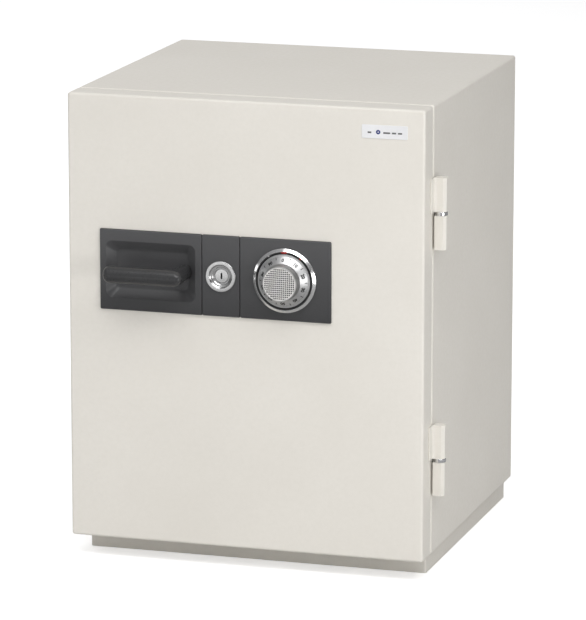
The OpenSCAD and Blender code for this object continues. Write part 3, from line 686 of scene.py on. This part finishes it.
def buildCabinet(s):
    mouthLow = cabinetLow + s["face"]
    mouthHigh = cabinetHigh - s["face"]

    def keep(centres):
        onFront = centres[:, 1] < cabinetLow[1] + s["onPlane"]
        onBack = centres[:, 1] > cabinetHigh[1] - s["onPlane"]
        inMouth = within(centres, cabinetLow, cabinetHigh, s["face"])
        return ~((inMouth & onFront) | (within(centres, cabinetLow, cabinetHigh, s["edge"]) & onBack))

    across, _, upward = zip(mouthLow, mouthHigh)
    shell = roundedBox("cabinetShell", cabinetLow, cabinetHigh, s["edge"], (across, (), upward), keep)
    addPiece(shell, "cabinet", "cabinet_paint", ["outer_shell"], sheet=s["sheet"])

    low, high = span("plinth")
    levels = [(low[2], s["plinthFoot"]), (low[2] + 0.25, 0.25), (low[2] + s["plinthFoot"], 0.0),
              (high[2], 0.0)]
    loops = []
    for level, inset in levels:
        flat = insetRectangle((low[0], high[0]), (low[1], high[1]), inset, s["plinthEdge"] - inset, 0)
        loops.append(np.stack([flat[:, 0], flat[:, 2], np.full(len(flat), level)], -1))
    addPiece(loft("plinthBase", loops), "cabinet", "cabinet_paint", ["plinth"])


buildCabinet(steelwork)
print("cabinet shell and plinth built")

leverPlate = span("handle_plate")
faceY = leverPlate[0][1]  # front of the three plates
doorFront = doorLow[1]
lockZ = (leverPlate[0][2] + leverPlate[1][2]) / 2
keyX, dialX, leverX = (sum(corner[0] for corner in span(node)) / 2
                       for node in ("key_escutcheon", "dial_bezel", "handle_shaft"))

recess = {
    "mouthX": (8.4, 9.0),  # from the plate's left and right edges in to the recess
    "mouthZ": (16.3, 15.3),  # from its lower and upper edges
    "slope": 12.5,  # how far the walls run in
    "mouthCorner": 9.0,
    "floorCorner": 5.0,
    "mouthFillet": 1.3,
    "floorFillet": 6.0,
    "shell": 1.5,
    "edge": 0.7,  # rounding of the plate's outer edge
    "groove": 0.55,  # half of the groove between two plates
    "corner": 2.0,
    "neckGap": 0.6,
    "shaftHole": 9.0,
}
recessFloor = span("handle")[1][1] + 0.4
recessX = (leverPlate[0][0] + recess["mouthX"][0], leverPlate[1][0] - recess["mouthX"][1])
recessZ = (leverPlate[0][2] + recess["mouthZ"][0], leverPlate[1][2] - recess["mouthZ"][1])


def buildDoor(s):
    def keep(centres):
        onBack = centres[:, 1] > doorHigh[1] - s["onPlane"]
        return ~(within(centres, doorLow, doorHigh, s["edge"]) & onBack)

    skin = roundedBox("doorSkin", doorLow, doorHigh, s["edge"], keep=keep)
    cut = (doorFront - 1, doorFront + s["passage"])
    room = s["recessRoom"]
    skin = carved(skin, [block((recessX[0] - room, recessX[1] + room), cut,
                               (recessZ[0] - room, recessZ[1] + room)),
                         rod(keyX, lockZ, s["keyPassage"], cut), rod(dialX, lockZ, s["dialPassage"], cut)],
                  sheet=s["sheet"])
    addPiece(skin, "door", "cabinet_paint", ["door_skin"])
    back = mergedCopy("doorBackPlate", "door_back_plate")
    addPiece(back, "door", "cabinet_paint", ["door_back_plate"], bevel=0.5)


buildDoor(steelwork)
print("door slab built")


def edgeLoops(x, z, corner, edge, back, steps=5):
    # outlines from the back, round a quarter circle at the front edge
    turn = np.linspace(0, quarter, steps + 1)
    step = recess["groove"]
    insets = np.concatenate([[0, 0, step], step + edge * (1 - np.cos(turn)), [step + edge + 0.3]])
    depths = np.concatenate([[back, faceY + 2.2, faceY + 2.2], faceY + edge * (1 - np.sin(turn)), [faceY]])
    return [insetRectangle(x, z, inset, max(corner - inset, 0.4), y) for inset, y in zip(insets, depths)]


def buildLeverPlate(s):
    x, z = limits(leverPlate)
    depth = recessFloor - faceY
    profile = roundedPath([(-5, 0), (0, 0), (s["slope"], depth), (s["slope"] + 9, depth)],
                          [0, s["mouthFillet"], s["floorFillet"], 0], 7)
    taper = (s["mouthCorner"] - s["floorCorner"]) / s["slope"]

    def recessLoop(run, deep):
        return insetRectangle(recessX, recessZ, run, s["mouthCorner"] - taper * run, faceY + deep)

    front = [recessLoop(run, deep) for run, deep in profile[::-1]]
    outer = edgeLoops(x, z, s["corner"], s["edge"], doorFront)[::-1]
    shellStart = doorFront - faceY
    behind = [recessLoop(1.0, shellStart), recessLoop(s["slope"] - 2.0, depth + s["shell"])]
    plate = loft("leverPlate", front + outer + behind)
    plate = carved(plate, [rod(leverX, lockZ, leverSettings["neck"] + s["neckGap"], (faceY - 2, recessFloor)),
                           rod(leverX, lockZ, s["shaftHole"], (recessFloor - 1, recessFloor + 4))])
    addPiece(plate, "door", "plate_plastic", ["handle_plate"], sharp=50)


def buildFlatPlates(s):
    for name, node, hole, x in (("keyPlate", "key_plate", 16.5, keyX),
                                ("dialPlate", "dial_plate", 9.0, dialX)):
        plate = loft(name, edgeLoops(*limits(span(node)), s["corner"], s["edge"], doorFront))
        plate = carved(plate, [rod(x, lockZ, hole, (faceY - 1, doorFront + 1))])
        addPiece(plate, "door", "plate_plastic", [node], sharp=50)


leverSettings = {
    "neck": 9.75,
    "innerFillet": 3.0,
    "outerCorner": 8.0,
    "overrun": 1.5,  # how far the elbow's corner stands past the neck
    "domeDepth": 8.6,
    "domePower": 2.05,
    "around": 56,
}


def buildLever(s):
    low, high = span("handle")
    barRadius = (high[2] - low[2]) / 2
    barY = low[1] + barRadius
    neckLeft = leverX - s["neck"]
    neckRight = leverX + s["neck"]
    pivot = np.array([neckLeft - s["innerFillet"], barY + barRadius + s["innerFillet"]])

    # left end: a superellipse dome, then straight rings up to the elbow
    turn = np.linspace(0, quarter, 12)
    power = 2 / s["domePower"]
    domeX = low[0] + s["domeDepth"] * (1 - np.cos(turn) ** power)
    domeRadius = barRadius * np.sin(turn) ** power
    barX = np.linspace(domeX[-1], pivot[0], 8)[1:-1]
    stationX = np.concatenate([domeX, barX])
    stationRadius = np.concatenate([domeRadius, np.full(len(barX), barRadius)])
    phi = np.linspace(0, 2 * math.pi, s["around"], endpoint=False)[None, :]
    rings = [np.stack([np.broadcast_to(stationX[:, None], (len(stationX), s["around"])),
                       barY - stationRadius[:, None] * np.cos(phi),
                       lockZ + stationRadius[:, None] * np.sin(phi)], -1)]

    # elbow: each ring fans out from the pivot to the outer corner, and its height runs from bar to neck
    outer = roundedPath([(pivot[0], low[1]), (neckRight + s["overrun"], low[1]), (neckRight, pivot[1])],
                        [0, s["outerCorner"], 0], 9)
    ray = outer - pivot
    reach = np.linalg.norm(ray, axis=1, keepdims=True)
    ray = ray / reach
    share = np.arctan2(ray[:, 0], -ray[:, 1]) / quarter
    share = share * share * (3 - 2 * share)
    height = barRadius + (s["neck"] - barRadius) * share
    middle = pivot + ray * (reach + s["innerFillet"]) / 2
    half = (reach - s["innerFillet"]) / 2
    elbowX = middle[:, :1] + ray[:, :1] * half * np.cos(phi)
    elbowY = middle[:, 1:] + ray[:, 1:] * half * np.cos(phi)
    rings.append(np.stack([elbowX, elbowY, lockZ + height[:, None] * np.sin(phi)], -1))

    # neck: round rings back to the recess floor
    neckY = np.linspace(pivot[1], high[1], 5)[1:, None]
    rings.append(np.stack([leverX + s["neck"] * np.cos(phi) + 0 * neckY, neckY + 0 * phi,
                           lockZ + s["neck"] * np.sin(phi) + 0 * neckY], -1))
    addPiece(loft("leverHandle", np.concatenate(rings)), "lever", "handle_plastic", ["handle"], sharp=60)


buildLeverPlate(recess)
buildFlatPlates(recess)
buildLever(leverSettings)
print("lock plates and lever built")

keySettings = {
    "rim": 20.5,
    "rimHigh": 2.5,
    "coneTop": 15.8,
    "coneEnd": 10.8,
    "coneDeep": -2.5,
    "slot": (1.15, 4.2),  # half width and half height of the keyway
}


def buildKeyLock(s):
    toward = (0, -1, 0)
    base = (keyX, faceY, lockZ)
    ringProfile = roundedPath(
        [(s["coneEnd"], s["coneDeep"]), (s["rim"] - 4, s["coneDeep"]), (s["rim"] - 4, 0), (s["rim"], 0),
         (s["rim"], s["rimHigh"]), (s["coneTop"], s["rimHigh"]), (s["coneTop"] - 1.2, -0.2),
         (s["coneEnd"] + 1.4, -1.2)], [0.2, 0, 0, 0, 1.1, 0.5, 2.0, 0.8], 5, closed=True)
    addPiece(revolve("keySurround", ringProfile, base, toward, ring=True), "door", "bright_chrome",
             ["key_escutcheon"], "keyChrome")
    low, high = span("key_plug")
    radius = (high[0] - low[0]) / 2
    front = -(low[1] - faceY)
    plugProfile = roundedPath([(0, front + 0.25), (radius - 1.5, front + 0.1), (radius, front - 0.4),
                               (radius, front - (high[1] - low[1])), (0, front - (high[1] - low[1]))],
                              [0, 1.0, 0.5, 0, 0], 4)
    plug = revolve("keyPlug", plugProfile, base, toward, 72)
    w, h = s["slot"]
    keyway = loft("keyway", [roundedRectangle((keyX - w, keyX + w), (lockZ - h, lockZ + h), w - 0.05, y)
                             for y in (low[1] - 3, low[1] + 22)])
    addPiece(carved(plug, [keyway]), "key_cylinder", "satin_chrome", ["key_plug"], "keyChrome")


buildKeyLock(keySettings)
print("key lock built")

dialSettings = {
    "bezel": 42.5,
    "bezelInner": 38.4,
    "indexInner": 28.3,
    "gap": 36.0,
    "flange": 35.3,
    "coneFoot": (32.9, 6.5),  # radius and height where the cone starts
    "coneTop": (24.5, 13.5),
    "cap": 21.6,
    "pitch": 2.72,  # of the waffle on the cap
    "ridge": 0.9,
    "pit": 1.3,
    "slopes": 0.65,  # share of a pit that its slopes take
    "flatRim": 1.3,
    "fine": ((31.5, 32.6), 0.28),  # radii and width of the ticks
    "medium": ((29.4, 32.6), 1.0),
    "numerals": 10,
    "figure": 6.2,  # size of the figures
    "figureAt": 28.4,
    "figureBold": 0.28,
    "figureSquash": 0.82,
    "lift": 0.05,
}


def conePoint(d, angle, radius, lift):
    # a place on the dial's cone: angle clockwise from the top, distance from the axis, lift along the normal
    footRadius, footHeight = d["coneFoot"]
    topRadius, topHeight = d["coneTop"]
    rise = topHeight - footHeight
    run = footRadius - topRadius
    length = math.hypot(rise, run)
    height = footHeight + (footRadius - radius) * rise / run + lift * run / length
    reach = radius + lift * rise / length
    return np.stack([dialX + reach * np.sin(angle), faceY - height, lockZ + reach * np.cos(angle)], -1)


def coneTiles(name, d, angles, radii, width):
    # one thin tile for each angle, all in one mesh: eight corners each, mapped on the cone
    u = np.array([-1, 1, 1, -1, -1, 1, 1, -1]) * width / 2
    v = np.array([radii[0], radii[0], radii[1], radii[1]] * 2)
    w = np.array([-0.1] * 4 + [d["lift"]] * 4)
    angles = np.asarray(angles, float)[:, None]
    points = conePoint(d, angles + (u / v)[None, :], v[None, :] + 0 * angles, w[None, :] + 0 * angles)
    box = np.array([[0, 3, 2, 1], [4, 5, 6, 7], [0, 1, 5, 4], [1, 2, 6, 5], [2, 3, 7, 6], [3, 0, 4, 7]])
    faces = (box[None] + 8 * np.arange(len(angles))[:, None, None]).reshape(-1, 4).tolist()
    return solidMesh(name, points, faces)


def figureMesh(d, text, angle):
    # flat figures from the built-in font, bent on the cone: across goes to angle, up goes to distance
    curve = bpy.data.curves.new("figure", "FONT")
    curve.body = text
    curve.align_x = curve.align_y = "CENTER"
    curve.size = d["figure"]
    curve.extrude = 0.5
    curve.offset = d["figureBold"]
    curve.resolution_u = 3
    holder = bpy.data.objects.new("figure", curve)
    scene.collection.objects.link(holder)
    bpy.context.view_layer.update()
    mesh = bpy.data.meshes.new_from_object(holder.evaluated_get(bpy.context.evaluated_depsgraph_get()))
    bpy.data.objects.remove(holder)
    flat = np.zeros(len(mesh.vertices) * 3)
    mesh.vertices.foreach_get("co", flat)
    flat = flat.reshape(-1, 3)
    radius = d["figureAt"] + flat[:, 1] * d["figureSquash"]
    lift = np.where(flat[:, 2] > 0, d["lift"], -0.1)
    bent = conePoint(d, angle + flat[:, 0] / radius, radius, lift)
    mesh.vertices.foreach_set("co", (bent * mm).ravel())
    return weld(mesh, 0.002)


def joinMeshes(name, meshes):
    # one mesh from several
    work = bmesh.new()
    for mesh in meshes:
        work.from_mesh(mesh)
    result = bpy.data.meshes.new(name)
    work.to_mesh(result)
    work.free()
    return result


def waffleMesh(d, low, high):
    # a square lattice of ridges with pyramid pits: height falls with the distance from the nearest ridge
    # line; points past the rim are drawn in to it, and a flat back closes the disc
    reach = d["cap"]
    half = d["pitch"] / 2
    edge = half - d["ridge"] / 2
    cells = int(reach / d["pitch"]) + 2
    level = edge * (1 - d["slopes"])
    offsets = np.array([-edge, -level, level, edge])
    line = (np.arange(-cells, cells + 1)[:, None] * d["pitch"] + offsets[None, :]).ravel()
    x, z = np.meshgrid(line, line, indexing="ij")
    away = np.hypot(x, z)
    inX = np.abs((x + half) % d["pitch"] - half)
    inZ = np.abs((z + half) % d["pitch"] - half)
    deep = np.clip((edge - np.maximum(inX, inZ)) / (edge * d["slopes"]), 0, 1) * d["pit"]
    deep = np.where(away > reach - d["flatRim"], 0, deep)
    pull = np.minimum(1, reach / np.maximum(away, 1e-6))
    x, z = x * pull, z * pull
    front = np.stack([dialX + x, low[1] + deep, lockZ + z], -1).reshape(-1, 3)
    faces = gridFaces(*x.shape)
    inside = (away <= reach).ravel()
    faces = faces[inside[faces].any(1)]
    edges = np.concatenate([faces[:, [i, (i + 1) % 4]] for i in range(4)])
    key = np.sort(edges, 1)
    _, first, count = np.unique(key, axis=0, return_index=True, return_counts=True)
    rim = edges[first[count == 1]]
    total = len(front)
    back = front.copy()
    back[:, 1] = high[1]
    sides = np.stack([rim[:, 1], rim[:, 0], rim[:, 0] + total, rim[:, 1] + total], -1)
    allFaces = np.concatenate([faces, faces[:, ::-1] + total, sides])
    return solidMesh("dialCap", np.concatenate([front, back]), allFaces.tolist())


def paintPitShade(mesh, depthFrom, depthTo):
    # painted shade: faces between the two depths, the cap's pits, take the piece's second material, a black
    # standing in for the shade in them
    centres = np.zeros(len(mesh.polygons) * 3)
    mesh.polygons.foreach_get("center", centres)
    depth = centres.reshape(-1, 3)[:, 1] / mm
    chosen = (depth > depthFrom) & (depth < depthTo)
    mesh.polygons.foreach_set("material_index", chosen.astype(np.int32))


def buildDial(d):
    toward = (0, -1, 0)
    base = (dialX, faceY, lockZ)
    inner, outer, gap, flangeEdge = d["bezelInner"], d["bezel"], d["gap"], d["flange"]
    bezel = roundedPath([(inner, 0), (outer, 0), (outer, 2.6), (inner + 0.4, 5.5), (inner, 5.5)],
                        [0, 0, 0.9, 0.5, 0.3], 5, closed=True)
    addPiece(revolve("dialBezel", bezel, base, toward, 128, ring=True), "door", "bright_chrome",
             ["dial_bezel"])
    index = roundedPath([(d["indexInner"], 0), (inner, 0), (inner, 5.2), (gap + 0.5, 5.0), (gap, 1.0),
                         (d["indexInner"], 1.0)], [0, 0, 0, 0.3, 0.4, 0], 4, closed=True)
    addPiece(revolve("indexRing", index, base, toward, 128, ring=True), "door", "index_black", ["index_ring"])
    for name, turn, width, finishName in (("indexMark", 0.0, 9.0, "redEnamel"),
                                          ("sideMark", 36.0, 2.4, "redEnamel"),
                                          ("leftTick", -33.0, 1.3, "whiteEnamel")):
        middle = quarter - math.radians(turn)
        reach = width / 2 / inner
        tile = [(gap + 0.5, 4.4), (inner - 0.1, 4.6), (inner - 0.1, 5.35), (gap + 0.5, 5.15)]
        mark = revolve(name, tile, base, toward, 7, ring=True, sweep=(middle - reach, middle + reach),
                       spread=(0.7, 1, 1, 0.7))
        addPiece(mark, "door", "index_black", (), finishName)

    flange = roundedPath([(4.0, 1.4), (flangeEdge - 1, 1.4), (flangeEdge, 2.4), (flangeEdge, 5.6),
                          d["coneFoot"], d["coneTop"], (4.0, d["coneTop"][1])],
                         [0, 0, 0.3, 0.5, 0.5, 0.2, 0], 4, closed=True)
    addPiece(revolve("dialFlange", flange, base, toward, 160, ring=True), "dial", "satin_chrome",
             ["dial_flange"])
    step = 2 * math.pi / d["numerals"]
    fine = np.arange(100) * 2 * math.pi / 100
    medium = (np.arange(d["numerals"]) + 0.5) * step
    marks = [coneTiles("fine", d, fine, *d["fine"]), coneTiles("medium", d, medium, *d["medium"])]
    marks += [figureMesh(d, str(10 * i), i * step) for i in range(d["numerals"])]
    addPiece(joinMeshes("dialFigures", marks), "dial", "index_black", (), "blackInk", sharp=30)

    knob = roundedPath([(0, 13.5), (23.2, 13.5), (23.2, 14.6), (24.5, 15.3), (22.9, 24.6), (22.5, 25.5),
                        (21.7, 25.5), (21.7, 24.0), (0, 24.0)], [0, 0.1, 0.2, 0.5, 0.6, 0.2, 0.1, 0, 0], 5)
    addPiece(revolve("dialKnob", knob, base, toward, 128), "dial", "satin_chrome", ["dial_knob"])
    low, high = span("dial_cap")
    cap = addPiece(waffleMesh(d, low, high), "dial", "dial_steel", ["dial_cap"], sharp=20)
    # painted shade: the black finish that the pits take in place of the shade that falls in them
    cap.data.materials.append(finishes["indexBlack"])
    paintPitShade(cap.data, low[1] + 0.15 * d["pit"], high[1] - 0.05)


buildDial(dialSettings)
print("dial built")

hingeSettings = {
    "flat": 7.75,  # half of the barrel's width
    "cut": 3.75,  # its chamfers
    "side": -9.5,  # the cabinet's side, from the axis
    "leaf": 2.0,
    "round": 0.9,
    "endBevel": 0.7,
}


def knuckleOutlines(s):
    h, c, w = s["flat"], s["cut"], s["side"]
    leaf = w + s["leaf"]
    doorHalf = [(w, -21), (leaf, -21), (leaf, -12), (-7, -10), (-6, -8.6), (c - h, -h), (h - c, -h),
                (h, c - h), (h, h - c), (h - c, h), (c - h, h), (-h, h - c), (-h, -3), (w, -3)]
    doorRound = [0, 0.8, 1.5, 0.6, 0.5, 0.6, 1, 1, 1, 1, 1, 1, 0, 0]
    cabinetHalf = [(-h, -h), (h - c, -h), (h, c - h), (h, h - c), (h - c, h), (-5, h), (-6, 9), (leaf, 14),
                   (leaf, 24), (w, 24), (w, 1), (-h, 1)]
    cabinetRound = [0.9, 1, 1, 1, 1, 0.5, 0.5, 1.5, 0.8, 0, 0, 0]
    scale = s["round"]
    return (roundedPath(doorHalf, np.array(doorRound) * scale, 4, closed=True),
            roundedPath(cabinetHalf, np.array(cabinetRound) * scale, 4, closed=True))


def buildHinges(s):
    doorOutline, cabinetOutline = knuckleOutlines(s)
    for level in ("upper", "lower"):
        washerLow, washerHigh = span(level + "_hinge_washer")
        axis = (washerLow + washerHigh) / 2
        for part, outline, body in (("door", doorOutline, "door"), ("body", cabinetOutline, "cabinet")):
            node = f"{level}_{part}_knuckle"
            low, high = span(node)
            loops = [np.column_stack([outline + axis[:2], np.full(len(outline), z)])
                     for z in (low[2], high[2])]
            addPiece(loft(f"{level}{part.title()}Knuckle", loops), body, "cabinet_paint", [node],
                     bevel=s["endBevel"], sharp=50)
        radius = (washerHigh[0] - washerLow[0]) / 2
        thick = washerHigh[2] - washerLow[2]
        ringProfile = roundedPath([(4.0, 0), (radius, 0), (radius, thick), (4.0, thick)], [0, 0.9, 0.9, 0], 5,
                                  closed=True)
        addPiece(revolve(level + "HingeWasher", ringProfile, (axis[0], axis[1], washerLow[2]), (0, 0, 1), 64,
                         ring=True), "cabinet", "bright_chrome", [level + "_hinge_washer"])


buildHinges(hingeSettings)
print("hinges built")

badgeSettings = {
    "corner": 1.5,
    "edge": 0.35,
    "proud": 0.06,
    "bars": ((0.13, 0.21, 0.38, 0.50), (0.47, 0.62, 0.38, 0.50),  # left, right, low, high, as shares
             (0.66, 0.75, 0.38, 0.50), (0.79, 0.88, 0.38, 0.50)),
    "spot": (0.36, 0.48, 2.9),  # place as shares, and radius
}


def buildBadge(s):
    low, high = span("badge")
    x, z = limits((low, high))
    loops = [insetRectangle(x, z, inset, s["corner"] - inset, y) for y, inset in (
        (high[1], 0), (low[1] + s["edge"], 0), (low[1] + 0.1, 0.12), (low[1], s["edge"]))]
    addPiece(loft("badgePlate", loops), "door", "badge_face", ["badge"])
    width, tall = x[1] - x[0], z[1] - z[0]
    bars = [loft("bar", [roundedRectangle((x[0] + left * width, x[0] + right * width),
                                          (z[0] + bottom * tall, z[0] + top * tall), 0.3, y, 3)
                         for y in (low[1] + 0.05, low[1] - s["proud"])])
            for left, right, bottom, top in s["bars"]]
    addPiece(joinMeshes("badgeBars", bars), "door", "badge_face", (), "greyInk")
    shareX, shareZ, radius = s["spot"]
    ring = [(radius * 0.3, -0.05), (radius, -0.05), (radius, s["proud"]), (radius * 0.3, s["proud"])]
    addPiece(revolve("badgeRing", ring, (x[0] + shareX * width, low[1], z[0] + shareZ * tall), (0, -1, 0), 40,
                     ring=True), "door", "badge_face", (), "blueInk")


buildBadge(badgeSettings)
print("badge built")

sealSettings = {
    "frame": (9.0, 17.0, 6.0, 1),  # outer inset, inner inset, corner radius and bulbs across
    "plug": (33.0, 49.0, 8.0, 2),
}


def sealMesh(name, node, outerInset, innerInset, corner, bulbs, onBack):
    # a strip with rounded bulbs along it: its height is the size of a sine of the share across
    low, high = span(node)
    share = np.linspace(0, 1, 8 * bulbs + 1)
    bulge = 0.35 + 0.65 * np.abs(np.sin(share * math.pi * bulbs)) ** 0.6
    inset = outerInset + (innerInset - outerInset) * share
    foot, crest = (high[1], low[1]) if onBack else (low[1], high[1])
    depth = foot + (crest - foot) * bulge
    inset = np.concatenate([[outerInset], inset, [innerInset]])
    depth = np.concatenate([[foot], depth, [foot]])
    x, z = limits((cabinetLow, cabinetHigh))
    loops = [insetRectangle(x, z, i, corner + innerInset - i, y) for i, y in zip(inset, depth)]
    return loft(name, loops, ring=True)


def buildSeals(s):
    for key, body, onBack in (("frame", "cabinet", True), ("plug", "door", False)):
        addPiece(sealMesh(key + "Seal", key + "_seal", *s[key], onBack), body, "seal_rubber", [key + "_seal"])


boltSettings = {"nose": 2.2, "radius": 8.0}


def buildBolts(s):
    low, high = span("locking_bolts")
    radius = s["radius"]
    middleY = (low[1] + high[1]) / 2
    bottom, top = low[2] + radius, high[2] - radius
    length = high[0] - low[0]
    profile = roundedPath([(0, 0), (radius, 0), (radius, length), (0, length)], [0, s["nose"], 0.4, 0], 6)
    meshes = [revolve("bolt", profile, (low[0], middleY, z), (1, 0, 0), 48)
              for z in (bottom, (bottom + top) / 2, top)]
    addPiece(joinMeshes("lockingBolts", meshes), "boltwork", "bright_chrome", ["locking_bolts"])


buildSeals(sealSettings)
buildBolts(boltSettings)
print("seals and bolts built")

innerPieces = {  # node: piece, body, record slot, width of its bevels
    "back_panel": ("backPanel", "cabinet", "cabinet_paint", 0.5),
    "jamb_frame": ("jambFrame", "cabinet", "cabinet_paint", 0.6),
    "inner_liner": ("innerLiner", "cabinet", "inner_paint", 0.5),
    "shelf": ("shelfTray", "cabinet", "inner_paint", 0.5),
    "shelf_rails": ("shelfRails", "cabinet", "zinc_steel", 0.4),
    "shelf_clips": ("shelfClips", "cabinet", "zinc_steel", 0.35),
    "plug_pan": ("plugPan", "door", "inner_paint", 0.6),
    "back_cover": ("backCover", "door", "inner_paint", 0.35),
    "back_cover_screws": ("backCoverScrews", "door", "zinc_steel", 0.15),
    "dead_bar": ("deadBar", "door", "hard_steel", 1.0),
}


def buildInside(table):
    for node, (name, body, slot, bevel) in table.items():
        addPiece(mergedCopy(name, node), body, slot, [node], bevel=bevel, sharp=30)


buildInside(innerPieces)
print("inside pieces:", len(innerPieces))


def finishNodes():
    # the nodes that no piece replaces take the finish of the record's slot
    slots = {entry["node"]: entry["material_slot"] for entry in frame["record"]["subparts"]}
    for name, node in frame["nodes"].items():
        material = finishes[slotFinish.get(slots.get(name), "zincSteel")]
        if not node.material_slots:
            node.data.materials.append(material)
        for place in node.material_slots:
            place.material = material
    return len(slots)


print("nodes with a record slot:", finishNodes())
